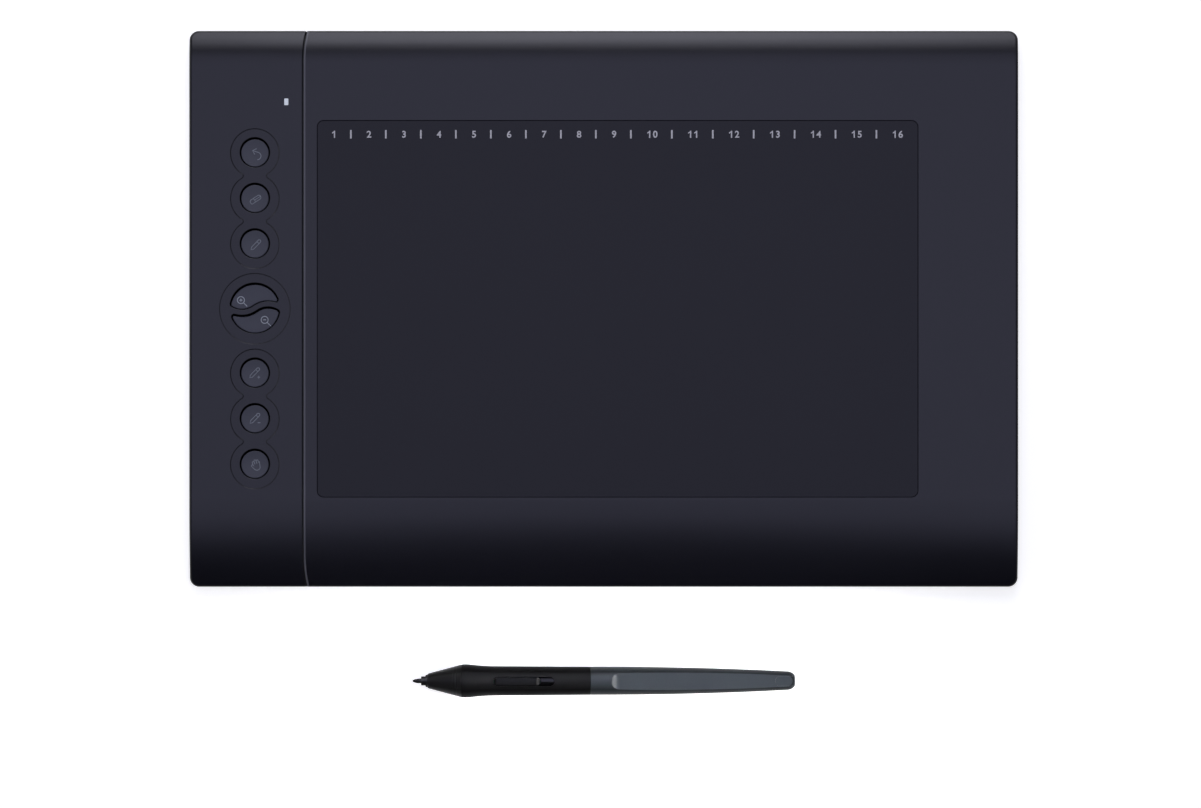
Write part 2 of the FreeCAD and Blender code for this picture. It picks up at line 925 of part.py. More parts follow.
def flat_cable():
    """The flat cable, from its connector up to the underside of the sensor board."""
    low = board_top + connector_height / 2
    rise = sensor_z - flex_thickness / 2 - low
    bend = rise / 2
    start = board_right - connector_inset
    bend_x = start + flex_bend_start
    end = sheet_left - sensor_margin + flex_land
    turn = bend * math.sqrt(0.5)
    points = [
        Vector(start, connector_y, low),
        Vector(bend_x, connector_y, low),
        Vector(bend_x + turn, connector_y, low + bend - turn),
        Vector(bend_x + bend, connector_y, low + bend),
        Vector(bend_x + 2 * bend - turn, connector_y, low + bend + turn),
        Vector(bend_x + 2 * bend, connector_y, low + rise),
        Vector(end, connector_y, low + rise),
    ]
    path = Part.Wire([
        line_edge(points[0], points[1]),
        arc_edge(points[1:4]),
        arc_edge(points[3:6]),
        line_edge(points[5], points[6]),
    ])
    half_width = flex_width / 2
    half = flex_thickness / 2
    corners = []
    for y, z in ((-half_width, -half), (half_width, -half), (half_width, half), (-half_width, half)):
        corners.append(Vector(start, connector_y + y, low + z))
    section = Part.makePolygon(corners + corners[:1])
    return path.makePipeShell([section], True, False)


def usb_socket():
    """The socket for the lead, a metal shell with its contact tongue."""
    x = left_x + socket_recess
    corner = Vector(x, socket_y - socket_width / 2, board_top)
    shell = Part.makeBox(socket_length, socket_width, socket_height, corner)
    inside = Part.makeBox(
        socket_length - socket_wall,
        socket_width - 2 * socket_wall,
        socket_height - 2 * socket_wall,
        corner.add(Vector(0, socket_wall, socket_wall)),
    )
    middle_z = board_top + socket_height / 2
    tongue = Part.makeBox(
        socket_length - tongue_setback,
        tongue_width,
        tongue_thickness,
        Vector(x + tongue_setback, socket_y - tongue_width / 2, middle_z - tongue_thickness / 2),
    )
    return joined([shell.cut(inside), tongue])


# Bottom cover and what holds it


def low_edges(body, level):
    """The edges of a body's lower rim."""
    return [edge for edge in body.Edges if edge.BoundBox.ZMax < level + 1e-4]


def ribs():
    """The grid of ribs that carries the sensor board."""
    inset = shield_margin + rib_margin - sensor_margin
    left, right = sheet_left + inset, sheet_right - inset
    front, rear = sheet_front + inset, sheet_rear - inset
    low = base_z + bottom_wall / 2
    grid = []
    for i in range(rib_columns):
        x = left + (right - left) * i / (rib_columns - 1)
        grid.append(plate(rib_thickness, rear - front, low, shield_z, 0, x, (front + rear) / 2))
    for i in range(rib_rows):
        y = front + (rear - front) * i / (rib_rows - 1)
        grid.append(plate(right - left, rib_thickness, low, shield_z, 0, (left + right) / 2, y))
    return grid


def foot_places():
    """Middles of the four feet."""
    sides = (left_x + foot_side_inset, right_x - foot_side_inset)
    ends = (front_y + foot_end_inset, rear_y - foot_end_inset)
    return [(x, y) for x in sides for y in ends]


def foot_plate(grow, low, high, x, y):
    """A foot's outline, grown on all sides."""
    return rounded_bar(foot_length + 2 * grow, foot_width + 2 * grow, low, high, x, y)


def feet():
    """The four rubber feet."""
    pads = []
    for x, y in foot_places():
        pad = foot_plate(0, 0, base_z + foot_pocket, x, y)
        pads.append(pad.makeChamfer(foot_edge_bevel, low_edges(pad, 0)))
    return Part.makeCompound(pads)


def cover_tray():
    """The bottom cover's walls, floor and locating lip."""
    outside = plate(tablet_width, tablet_depth, base_z, parting_height, plan_corner_radius)
    outside = outside.makeFillet(bottom_edge_radius, low_edges(outside, base_z))
    lip_top = parting_height + lip_height
    inset = cover_wall + lip_clearance
    lip = plate(tablet_width - 2 * inset, tablet_depth - 2 * inset, floor_z, lip_top, corner_at(inset))
    length = tablet_width - 2 * inner_inset
    depth = tablet_depth - 2 * inner_inset
    cavity = plate(length, depth, floor_z, lip_top + overcut, corner_at(inner_inset))
    return joined([outside, lip]).cut(cavity)


def bottom_cover():
    """The bottom moulding with its bosses, standoffs, ribs and pockets."""
    root_z = base_z + bottom_wall / 2
    parts = [cover_tray()] + ribs()
    for x, y in post_places():
        parts.append(disc(boss_radius, root_z, boss_top, x, y))
    for x, y in board_corners() + board_rests():
        parts.append(disc(standoff_radius, root_z, board_z, x, y))
    cover = joined(parts)
    holes = []
    for x, y in post_places():
        holes.append(disc(screw_head_radius + screw_head_clearance, base_z, screw_seat, x, y))
        holes.append(disc(screw_radius + screw_hole_clearance, base_z, boss_top, x, y))
    for x, y in board_corners():
        holes.append(disc(board_screw_radius, board_top - board_screw_length, board_z, x, y))
    for x, y in foot_places():
        holes.append(foot_plate(foot_clearance, base_z, base_z + foot_pocket, x, y))
    holes.append(socket_hole(parting_height, board_top + socket_height, socket_clearance))
    return cover.cut(Part.makeCompound(holes))


def case_screws():
    """The screws that hold the covers together."""
    head_low = screw_seat - screw_head_height
    screws = []
    for x, y in post_places():
        head = disc(screw_head_radius, head_low, screw_seat, x, y)
        shank = disc(screw_radius, screw_seat, screw_seat + screw_length, x, y)
        drive = cross_drive(drive_length, drive_width, head_low - overcut, head_low + drive_depth, x, y)
        screws.append(joined([head, shank]).cut(drive))
    return Part.makeCompound(screws)


# Pen, all of it first made along X from the tip of the nib, with the side key upwards

nose_start = nib_shown + bush_front_length + bush_step_length
grip_start = nose_start + cone_length
grip_end = grip_start + grip_length
tail_start = pen_length - tail_round_length
slot_start = grip_start + slot_place
slot_length = side_key_length + 2 * side_key_end_gap + side_channel_length
side_key_start = slot_start + side_key_end_gap
pivot_place = side_key_start + side_key_length / 2
front_barrel_bore = front_barrel_radius - front_barrel_wall
carrier_radius = front_barrel_bore - carrier_clearance
side_key_top = waist_radius + side_key_rise
side_key_reach = side_switch_spacing / 2 + side_plunger_radius
core_end = grip_start - core_grip_inset
core_start = core_end - core_length
holder_start = core_end + holder_gap
stem_end = holder_start + nib_stem_grip
force_sensor_start = holder_start + holder_length + nib_travel + nib_stop_clearance
force_sensor_end = force_sensor_start + force_sensor_length


def along(place, height):
    """A point of the pen's side view."""
    return Vector(place, 0, height)


def lathe(edges):
    """A solid of revolution about the pen's axis."""
    face = Part.Face(Part.Wire(Part.__sortEdges__(edges)))
    return face.revolve(Vector(0, 0, 0), Vector(1, 0, 0), 360)


def lines(points):
    """Straight edges through points given as place and height."""
    corners = [along(*point) for point in points]
    return [line_edge(first, last) for first, last in zip(corners, corners[1:])]


def tube(start, end, outer, inner=0.0):
    """A round bar or tube along the pen's axis."""
    bar = Part.makeCylinder(outer, end - start, along(start, 0), Vector(1, 0, 0))
    if inner > 0:
        bar = bar.cut(Part.makeCylinder(inner, end - start, along(start, 0), Vector(1, 0, 0)))
    return bar


def slab(start, end, half_width, low, high):
    """A block across the pen's axis."""
    return Part.makeBox(end - start, 2 * half_width, high - low, Vector(start, -half_width, low))


def cone_radius(place):
    """Outer radius of the nose cone."""
    share = (place - nose_start) / cone_length
    return cone_front_radius + (cone_rear_radius - cone_front_radius) * share


def arc_over(first, last, rise):
    """An arc between two points of the side view, which bulges by rise over its chord."""
    chord = last.sub(first)
    outwards = Vector(-chord.z, 0, chord.x).normalize()
    middle = first.add(last).multiply(0.5).add(outwards.multiply(rise))
    return arc_edge([first, middle, last])


def level_arc(level, end):
    """An arc of the side view that is level at its first point."""
    length = abs(end.x - level.x)
    drop = abs(end.z - level.z)
    half_drop = arc_drop(arc_radius(length, drop), length / 2)
    middle_z = level.z + math.copysign(half_drop, end.z - level.z)
    return arc_edge([level, along((level.x + end.x) / 2, middle_z), end])


def grip_outline():
    """Outer edges of the grip: a bulge behind the cone, then a long waist."""
    bulge = along(grip_start + bulge_place, bulge_radius)
    waist = along(grip_start + waist_place, waist_radius)
    turn_share = (bulge_turn_place - bulge_place) / (waist_place - bulge_place)
    turn_radius = bulge_radius - (bulge_radius - waist_radius) * turn_share
    turn = along(grip_start + bulge_turn_place, turn_radius)
    front = along(grip_start, cone_rear_radius)
    rear = along(grip_end, grip_rear_radius)
    return [level_arc(bulge, front), level_arc(bulge, turn), level_arc(waist, turn), line_edge(waist, rear)]


def barrel_outline():
    """Outer edges of the rear barrel, which narrows to a rounded tail."""
    front = along(grip_end + pen_joint_bevel, grip_rear_radius)
    level = along(grip_end + barrel_straight_length, grip_rear_radius)
    rear = along(tail_start, tail_radius)
    tail = along(pen_length, tail_end_radius)
    return [line_edge(front, level), level_arc(level, rear), arc_over(rear, tail, tail_round_rise)]


def pen_rest():
    """Tilt of the lying pen in degrees, and the height of its middle above the desk."""
    points = []
    for edge in grip_outline() + barrel_outline():
        points += edge.discretize(Number=outline_steps)
    bulge = max(points, key=lambda point: point.z)
    slopes = [(bulge.z - p.z) / (p.x - bulge.x) for p in points if p.x > grip_start + waist_place]
    tilt = math.atan(min(slopes))
    middle = pen_length / 2
    height = max((p.x - middle) * math.sin(tilt) + p.z * math.cos(tilt) for p in points)
    return math.degrees(tilt), height


def lying(shape):
    """The shape moved from the pen's own axis to where the pen lies."""
    tilt, height = pen_rest()
    copy = shape.copy()
    copy.translate(Vector(-pen_length / 2, 0, 0))
    copy.rotate(Vector(0, 0, 0), Vector(0, 1, 0), tilt)
    copy.translate(Vector(0, front_y - pen_distance, height))
    return copy


def nib():
    """The worn-down plastic nib with its long stem."""
    stem_start = nose_start + bush_spigot_length
    edges = lines([
        (nib_taper_length, nib_radius),
        (stem_start, nib_radius),
        (stem_start, nib_stem_radius),
        (stem_end, nib_stem_radius),
        (stem_end, 0),
        (0, 0),
    ])
    tip = along(nib_tip_length, nib_tip_radius)
    edges.append(arc_over(along(0, 0), tip, nib_round))
    edges.append(arc_over(tip, along(nib_taper_length, nib_radius), nib_round))
    return lathe(edges)


def nib_holder():
    """The cup that grips the stem of the nib."""
    cup = tube(holder_start, holder_start + holder_length, holder_radius)
    return cup.cut(tube(holder_start, stem_end, nib_stem_radius))


def nib_bush():
    """The stepped bush that the nib slides in."""
    bore = nib_radius + nib_clearance
    step = nib_shown + bush_front_length
    spigot_end = nose_start + bush_spigot_length
    return lathe(lines([
        (nib_shown, bore),
        (nib_shown, bush_front_radius),
        (step, bush_front_radius),
        (step, bush_step_radius),
        (nose_start, bush_step_radius),
        (nose_start, bush_spigot_radius),
        (spigot_end, bush_spigot_radius),
        (spigot_end, bore),
        (nib_shown, bore),
    ]))


def nose_cone():
    """The cone in front of the grip, hollow, with two fine grooves."""
    seat_end = nose_start + bush_spigot_length
    spigot = grip_start - spigot_length
    cone = lathe(lines([
        (nose_start, bush_spigot_radius),
        (nose_start, cone_front_radius - cone_front_edge),
        (nose_start + cone_front_edge, cone_radius(nose_start + cone_front_edge)),
        (grip_start - pen_joint_bevel, cone_radius(grip_start - pen_joint_bevel)),
        (grip_start, cone_rear_radius - pen_joint_bevel),
        (grip_start, front_barrel_radius),
        (spigot, front_barrel_radius),
        (spigot, cone_radius(spigot) - cone_wall),
        (seat_end, cone_radius(seat_end) - cone_wall),
        (seat_end, bush_spigot_radius),
        (nose_start, bush_spigot_radius),
    ]))
    for back in cone_groove_places:
        middle = grip_start - back
        half = cone_groove_width / 2
        groove = lathe(lines([
            (middle - half, cone_radius(middle - half)),
            (middle, cone_radius(middle) - cone_groove_depth),
            (middle + half, cone_radius(middle + half)),
            (middle, cone_radius(middle) + half),
            (middle - half, cone_radius(middle - half)),
        ]))
        cone = cone.cut(groove)
    return cone


def slot(start, length, width, low):
    """A slot with rounded ends, cut down from above."""
    return rounded_bar(length, width, low, bulge_radius + overcut, start + length / 2)


def grip_sleeve():
    """The soft sleeve of the grip, with the slot of the side key."""
    edges = grip_outline()
    edges += lines([
        (grip_end, grip_rear_radius),
        (grip_end, front_barrel_radius),
        (grip_start, front_barrel_radius),
        (grip_start, cone_rear_radius),
    ])
    width = side_key_width + 2 * side_key_side_gap
    return lathe(edges).cut(slot(slot_start, slot_length, width, 0))


def front_barrel():
    """The stiff tube that the cone, the sleeve and the rear barrel sit on."""
    start = grip_start - spigot_length
    barrel = tube(start, grip_end + rear_spigot_length, front_barrel_radius, front_barrel_bore)
    length = side_key_length + 2 * side_key_end_gap
    width = side_key_width + 2 * side_key_slot_clearance
    return barrel.cut(slot(slot_start, length, width, 0))


def facet_tool(rise):
    """All that the facet takes off the rear barrel, with the facet raised by rise."""
    start = grip_end + facet_start
    level = start + facet_ramp
    front_z = grip_rear_radius - facet_drop_front
    rear_z = tail_radius - facet_drop_rear
    slope = (rear_z - front_z) / (tail_start - level)
    end = pen_length + beyond
    edges = [level_arc(along(level, front_z), along(start, grip_rear_radius))] + lines([
        (level, front_z),
        (end, front_z + slope * (end - level)),
        (end, beyond),
        (start, beyond),
        (start, grip_rear_radius),
    ])
    face = Part.Face(Part.Wire(Part.__sortEdges__(edges)))
    tool = face.extrude(Vector(0, 4 * grip_rear_radius, 0))
    tool.translate(Vector(0, -2 * grip_rear_radius, rise))
    return tool


def barrel_form():
    """The rear barrel as a solid bar."""
    edges = barrel_outline()
    edges += lines([
        (pen_length, tail_end_radius),
        (pen_length, 0),
        (grip_end, 0),
        (grip_end, grip_rear_radius - pen_joint_bevel),
        (grip_end + pen_joint_bevel, grip_rear_radius),
    ])
    return lathe(edges)


def tail_region(grow):
    """The space of the tail plug's tongue and of the part that wraps over the tail."""
    width = tail_tongue_width + 2 * grow
    start = pen_length - tongue_front - grow
    length = 2 * tongue_front
    outline = rounded_bar(length, width, -beyond, beyond, start + length / 2)
    upper = outline.common(facet_tool(-tail_tongue_depth))
    wrap_start = pen_length - tail_wrap_depth
    wrap = outline.common(slab(wrap_start, pen_length + beyond, beyond, -tail_wrap_low - grow, beyond))
    return joined([upper, wrap])


def rear_barrel():
    """The rear barrel with its facet, its bore and the seat of the tail plug."""
    spigot_end = grip_end + rear_spigot_length
    bore_end = pen_length - rear_bore_end
    bore = lathe(lines([
        (grip_end, 0),
        (grip_end, front_barrel_radius),
        (spigot_end, front_barrel_radius),
        (spigot_end, rear_bore_front),
        (bore_end, rear_bore_rear),
        (bore_end, 0),
        (grip_end, 0),
    ]))
    return barrel_form().cut(facet_tool(0)).cut(tail_region(tail_tongue_gap)).cut(bore)


def tail_plug():
    """The plug whose tongue lies in the facet and wraps over the tail."""
    return barrel_form().common(tail_region(0)).cut(facet_tool(tail_tongue_rise))


def side_cap():
    """The part of the side key that stands in the slot, bevelled towards both ends."""
    end = side_key_start + side_key_length
    shoulder = side_key_top - side_key_bevel_drop
    edges = lines([
        (side_key_start, side_key_plate_top),
        (side_key_start, shoulder),
        (side_key_start + side_key_front_bevel, side_key_top),
        (end - side_key_rear_bevel, side_key_top),
        (end, shoulder),
        (end, side_key_plate_top),
        (side_key_start, side_key_plate_top),
    ])
    cap = Part.Face(Part.Wire(edges)).extrude(Vector(0, side_key_width, 0))
    cap.translate(Vector(0, -side_key_width / 2, 0))
    outline = rounded_bar(side_key_length, side_key_width, 0, beyond, pivot_place)
    return cap.common(outline).common(tube(side_key_start, end, side_key_top))


def side_key():
    """The two-way key, which rocks on two trunnions."""
    plate_low = side_key_plate_top - side_key_plate_thickness
    end = side_key_start + side_key_length
    base = slab(side_key_start, end, side_key_plate_width / 2, plate_low, side_key_plate_top)
    half_web = pivot_web / 2
    web_side = ear_inner() - pivot_ear_gap
    web = slab(pivot_place - half_web, pivot_place + half_web, web_side, pivot_height, plate_low)
    pin_end = ear_inner() + pivot_ear_thickness
    pin_start = Vector(pivot_place, -pin_end, pivot_height)
    pin = Part.makeCylinder(pivot_radius, 2 * pin_end, pin_start, Vector(0, 1, 0))
    foot_gap = side_key_reach * math.sin(math.radians(side_key_tilt)) + side_key_foot_clearance
    foot_low = side_switch_top() + foot_gap
    pushers = []
    for middle in side_switch_places():
        start = middle - side_plunger_radius
        end = middle + side_plunger_radius
        pushers.append(slab(start, end, side_plunger_radius, foot_low, plate_low))
    return joined([side_cap(), base, web, pin] + pushers)


def ear_inner():
    """Half the space between the two ears that hold the side key's trunnions."""
    top = pivot_height + pivot_radius + pivot_ear_cap
    return math.sqrt(carrier_radius ** 2 - top ** 2) - pivot_ear_thickness


def side_switch_places():
    """Middles of the side switches along the pen."""
    return [pivot_place + side * side_switch_spacing / 2 for side in (-1, 1)]


def pen_board_top():
    """Height of the pen's board, which lies on the carrier's rim."""
    return pen_board_thickness - carrier_rim


def side_switch_top():
    """Height of the side switches' plungers."""
    return pen_board_top() + side_switch_height + side_plunger_height


def pivot_ears():
    """The two ears that hold the side key's trunnions."""
    inner = ear_inner()
    half_length = pivot_ear_length / 2
    top = pivot_height + pivot_radius + pivot_ear_cap
    start = pivot_place - half_length
    end = pivot_place + half_length
    block = slab(start, end, inner + pivot_ear_thickness, -2 * carrier_rim, top)
    block = block.cut(slab(start, end, inner, -2 * carrier_rim, top))
    block = block.common(tube(start, end, carrier_radius))
    hole_start = Vector(pivot_place, -carrier_radius, pivot_height)
    hole_radius = pivot_radius + pivot_clearance
    hole = Part.makeCylinder(hole_radius, 2 * carrier_radius, hole_start, Vector(0, 1, 0))
    return block.cut(hole)


def pen_carrier():
    """The half-round carrier of the board, with the bulkhead that holds the core."""
    start = core_end - bulkhead_length
    end = grip_end + carrier_tail
    lower = slab(start, end, carrier_radius, -carrier_radius, -carrier_rim)
    tray = tube(start, end, carrier_radius).common(lower)
    channel_low = -carrier_rim - carrier_channel_depth
    tray = tray.cut(slab(core_end, end, carrier_channel_width / 2, channel_low, carrier_radius))
    bulkhead = tube(start, core_end, carrier_radius)
    return joined([tray, bulkhead, pivot_ears()]).cut(tube(start, core_end, core_radius))


def ferrite_core():
    """The core that the nib's stem runs through."""
    return tube(core_start, core_end, core_radius, nib_stem_radius + core_clearance)


def coil():
    """The winding on the core."""
    start = core_start + coil_margin
    return tube(start, start + coil_length, core_radius + coil_thickness, core_radius)


def force_sensor():
    """The sensor that the nib holder presses on."""
    half_width = carrier_channel_width / 2
    low = -carrier_rim - carrier_channel_depth
    high = low + force_sensor_height
    return slab(force_sensor_start, force_sensor_end, half_width, low, high)


def pen_board():
    """The pen's board, notched for the ears of the side key."""
    start = force_sensor_end + pen_board_gap
    top = pen_board_top()
    board = slab(start, start + pen_board_length, pen_board_width / 2, -carrier_rim, top)
    half_notch = pivot_ear_length / 2 + board_notch_clearance
    front = pivot_place - half_notch
    rear = pivot_place + half_notch
    notch = slab(front, rear, pen_board_width, -carrier_rim, top)
    kept = slab(front, rear, ear_inner() - board_notch_clearance, -carrier_rim, top)
    return board.cut(notch.cut(kept))


def side_switches():
    """The two switches under the side key."""
    low = pen_board_top()
    high = low + side_switch_height
    length, width = side_switch_size
    parts = []
    for middle in side_switch_places():
        body = slab(middle - length / 2, middle + length / 2, width / 2, low, high)
        button = disc(side_plunger_radius, low, side_switch_top(), middle)
        parts.append(joined([body, button]))
    return Part.makeCompound(parts)


def build_tablet():
    """Write every piece of the tablet."""
    shell = cover_shell()
    save("top_cover", top_cover(shell))
    save("key_panel", key_panel(shell))
    save("bottom_cover", bottom_cover())
    save("drawing_sheet", drawing_sheet())
    save("sensor_board", sensor_board())
    save("shield_plate", shield_plate())
    save("control_board", control_board())
    save("board_screws", board_screws())
    save("controller_chips", chips())
    save("status_lamp", lamp())
    save("status_window", status_window())
    save("flex_connector", flex_connector())
    save("flat_cable", flat_cable())
    save("usb_socket", usb_socket())
    save("switch_housings", Part.makeCompound([switch_housing(y) for y in switch_places()]))
    save("rubber_feet", feet())
    save("case_screws", case_screws())
    for number, y in enumerate(round_key_places(), 1):
        save("express_key_" + str(number), round_key(y))
        save("express_plunger_" + str(number), plunger(y))
    rear_key = zoom_key()
    save("zoom_in_key", rear_key)
    save("zoom_in_plunger", plunger(zoom_switch_shift))
    save("zoom_out_key", turned(rear_key, 180, key_x, 0))
    save("zoom_out_plunger", plunger(-zoom_switch_shift))


def build_pen():
    """Write every piece of the pen, where it lies."""
    save("nib", lying(nib()))
    save("nib_holder", lying(nib_holder()))
    save("nib_bush", lying(nib_bush()))
    save("nose_cone", lying(nose_cone()))
    save("grip_sleeve", lying(grip_sleeve()))
    save("front_barrel", lying(front_barrel()))
    save("rear_barrel", lying(rear_barrel()))
    save("tail_plug", lying(tail_plug()))
    save("side_key", lying(side_key()))
    save("pen_carrier", lying(pen_carrier()))
    save("pen_board", lying(pen_board()))
    save("side_switches", lying(side_switches()))
    save("ferrite_core", lying(ferrite_core()))
    save("core_winding", lying(coil()))
    save("force_sensor", lying(force_sensor()))


build_tablet()
build_pen()
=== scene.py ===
import math

import bmesh
import bpy
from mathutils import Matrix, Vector
from mathutils.bvhtree import BVHTree


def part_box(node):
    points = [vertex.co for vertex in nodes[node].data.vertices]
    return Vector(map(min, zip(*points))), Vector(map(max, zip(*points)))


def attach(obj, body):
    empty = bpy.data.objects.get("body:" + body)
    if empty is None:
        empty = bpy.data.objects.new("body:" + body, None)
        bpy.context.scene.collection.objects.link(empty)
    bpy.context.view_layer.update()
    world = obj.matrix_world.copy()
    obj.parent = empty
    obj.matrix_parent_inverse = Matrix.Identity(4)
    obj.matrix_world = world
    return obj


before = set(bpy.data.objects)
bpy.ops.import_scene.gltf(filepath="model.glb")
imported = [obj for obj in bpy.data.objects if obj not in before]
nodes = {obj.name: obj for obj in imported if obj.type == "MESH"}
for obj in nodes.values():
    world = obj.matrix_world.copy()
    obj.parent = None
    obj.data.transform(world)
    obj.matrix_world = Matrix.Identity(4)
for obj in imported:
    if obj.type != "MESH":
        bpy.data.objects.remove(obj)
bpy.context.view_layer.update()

millimetre = 0.001

# The photograph: its size and the tablet's outline in it, in pixels
photo_width_px = 1201.0
photo_height_px = 808.0
outline_left_px = 189.0
outline_right_px = 1018.5
outline_top_px = 30.3
outline_bottom_px = 587.3

# The tablet's body, from the frame
cover_low, cover_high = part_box("top_cover")
panel_low, panel_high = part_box("key_panel")
sheet_low, sheet_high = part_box("drawing_sheet")
left_side = panel_low.x
right_side = cover_high.x
front_side = cover_low.y
rear_side = cover_high.y
top_level = cover_high.z
metres_per_px = (right_side - left_side) / (outline_right_px - outline_left_px)

# Camera
lens_length = 150.0
sensor_width = 36.0
sight_end = 20.0

# Floor
floor_size = 20.0
floor_colour = (0.86, 0.86, 0.86, 1.0)
floor_lift = 0.71
floor_drop = 0.02 * millimetre

# Lamps, with sizes and places in metres, angles in degrees and powers in watts. The level of the boxes
# overhead is in watts to the square metre.
rear_box_size = (0.7, 0.85)
rear_box_distance = 1.6
rear_box_angle = 45.5
rear_box_power = 5.9
rear_box_tint = (0.95, 0.95, 1.12)
pen_strip_size = (0.06, 0.18)
pen_strip_distance = 0.6
pen_strip_angle = 46.0
pen_strip_spread = 12.0
pen_strip_power = 0.045
top_box_height = 2.0
top_box_rear_end = 0.68
top_box_front_end = -0.352
side_box_front_end = -0.53
top_box_half_width = 0.23
side_box_reach = 0.85
top_box_level = 2.65
top_box_tint = (0.91, 0.925, 1.32)

# The pale room: its light round the horizon and overhead, by the height of the direction
horizon_level = 1.0
horizon_end = 0.06
zenith_level = 0.02
zenith_start = 0.85

# The room is dimmer towards the front right
bright_side = (-0.7, 0.7, 0.0)
bright_side_start = 0.5
dim_side_end = -0.4
dim_side_level = 0.4

# Patterns of the finishes, in repeats to the metre
millimetres_per_metre = 1000.0
mottle_scale = 45.0
drawn_line_scale = 9000.0
track_scale = 60.0
window_cloud_scale = 1500.0

# Finishes
cover_colour = (0.0028, 0.0028, 0.0062)
cover_roughness = 0.26
cover_specular = 0.52
window_colour = (0.52, 0.56, 0.62)
window_glow = 0.56
# Painted shade on the keys: below this height their finish is painted dull black without gloss, so that the
# gap round each key reads as shadow.
key_shade_level = 8.35 * millimetre
key_shade_blend = 0.1 * millimetre
key_shade_colour = (0.001, 0.001, 0.001, 1.0)
# Painted shade: between these levels of turning away from the eye, a finish's colour is darkened and its
# gloss lowered.
side_shade_start = 0.01
side_shade_end = 0.2

# The painted highlight beside the seam, a light line painted into the cover's colour, which is straight in
# the middle and flares at both ends. It fades from a quarter of its width, measured from its middle, and is
# gone at six tenths.
seam_to_sheet = 6.27 * millimetre
seam_straight_end = 105.7 * millimetre
seam_flare_radius = 55.4 * millimetre
seam_highlight_start = 0.3 * millimetre
seam_highlight_width = 0.85 * millimetre
seam_highlight_full = 0.25
seam_highlight_gone = 0.6
seam_highlight_colour = (0.1, 0.1, 0.116, 1.0)

# Places of the printed scale, along the rear edge of the sheet
scale_count = 16
scale_start = -114.8 * millimetre
scale_line = 74.3 * millimetre
one_digit_pitch = 14.9 * millimetre
first_two_digit_pitch = one_digit_pitch * 1.09
two_digit_pitch = 17.41 * millimetre
last_one_digit = 9
tick_share = 0.48

# The figures and strokes of the scale, in millimetres
digit_size = 3.98
digit_weight = 0.09
digit_pitch = 2.55
figure_one = (
    (0.47, -1.52), (0.47, 1.52), (0.02, 1.52), (-0.13, 1.24), (-0.4, 0.98), (-0.84, 0.78),
    (-0.84, 0.26), (-0.45, 0.42), (-0.08, 0.68), (-0.08, -1.52),
)
tick_length = 3.6
tick_width = 0.7
print_thickness = 0.02

# Contacts in the socket, in millimetres
contact_count = 9
contact_pitch = 0.5
contact_length = 3.0
contact_width = 0.26
contact_thickness = 0.04
contact_setback = 1.1
contact_level = 0.3

# Pictograms on the keys, in millimetres from the middle of each drawing
line_width = 0.36
line_rise = 0.02
arc_steps = 20
lens_radius = 1.5
lens_handle = 1.6
pencil_half_width = 0.62
finger_half_width = 0.42
drawing_tilts = {"arrow": -18.0, "eraser": 33.0, "pencil": 46.0, "hand": 20.0}
drawings = {
    "express_key_1": ("arrow", (-148.2, 66.1)),
    "express_key_2": ("eraser", (-148.2, 46.6)),
    "express_key_3": ("pencil", (-148.2, 27.2)),
    "express_key_4": ("pencil with plus", (-148.4, -27.6)),
    "express_key_5": ("pencil with minus", (-148.3, -47.0)),
    "express_key_6": ("hand", (-148.1, -66.4)),
    "zoom_in_key": ("lens with plus", (-154.5, 3.7)),
    "zoom_out_key": ("lens with minus", (-144.4, -4.7)),
}


def link(piece):
    """Put an object into the scene."""
    bpy.context.scene.collection.objects.link(piece)
    return piece


def mesh_piece(name, mesh):
    """A new object for a mesh."""
    return link(bpy.data.objects.new(name, mesh))


# Node trees and shader groups


class Graph:
    """A short way to add and join the nodes of one shader or geometry tree."""

    def __init__(self, tree):
        self.tree = tree

    def add(self, kind, inputs=None, **settings):
        """A new node with its settings, and with its inputs set or joined."""
        node = self.tree.nodes.new(kind)
        for name, value in settings.items():
            setattr(node, name, value)
        for name, value in (inputs or {}).items():
            socket = node.inputs[name]
            if isinstance(value, bpy.types.NodeSocket):
                self.tree.links.new(value, socket)
            else:
                socket.default_value = value
        return node

    def join(self, output, socket):
        """Lead an output to an input."""
        self.tree.links.new(output, socket)

    def maths(self, operation, *values):
        """The result of one step of arithmetic."""
        return self.add("ShaderNodeMath", dict(enumerate(values)), operation=operation).outputs[0]

    def ramp(self, value, start, end, low, high, shape="LINEAR"):
        """A value carried from one range to another, and held at both ends."""
        ranges = {"Value": value, "From Min": start, "From Max": end, "To Min": low, "To Max": high}
        return self.add("ShaderNodeMapRange", ranges, interpolation_type=shape).outputs["Result"]

    def blend(self, factor, first, second):
        """Two colours mixed by a factor."""
        colours = {"Factor": factor, "A": first, "B": second}
        return self.add("ShaderNodeMix", colours, data_type="RGBA").outputs["Result"]

    def scaled(self, colour, factor):
        """A colour made lighter or darker."""
        node = self.add("ShaderNodeVectorMath", {0: colour, "Scale": factor}, operation="SCALE")
        return node.outputs["Vector"]


def new_group(name, inputs, outputs):
    """A shader group with named inputs, each with its kind and default, and named outputs."""
    tree = bpy.data.node_groups.new(name, "ShaderNodeTree")
    for label, kind, value in inputs:
        socket = tree.interface.new_socket(label, in_out="INPUT", socket_type=kind)
        if value is not None:
            socket.default_value = value
    for label, kind in outputs:
        tree.interface.new_socket(label, in_out="OUTPUT", socket_type=kind)
    graph = Graph(tree)
    return tree, graph, graph.add("NodeGroupInput"), graph.add("NodeGroupOutput")


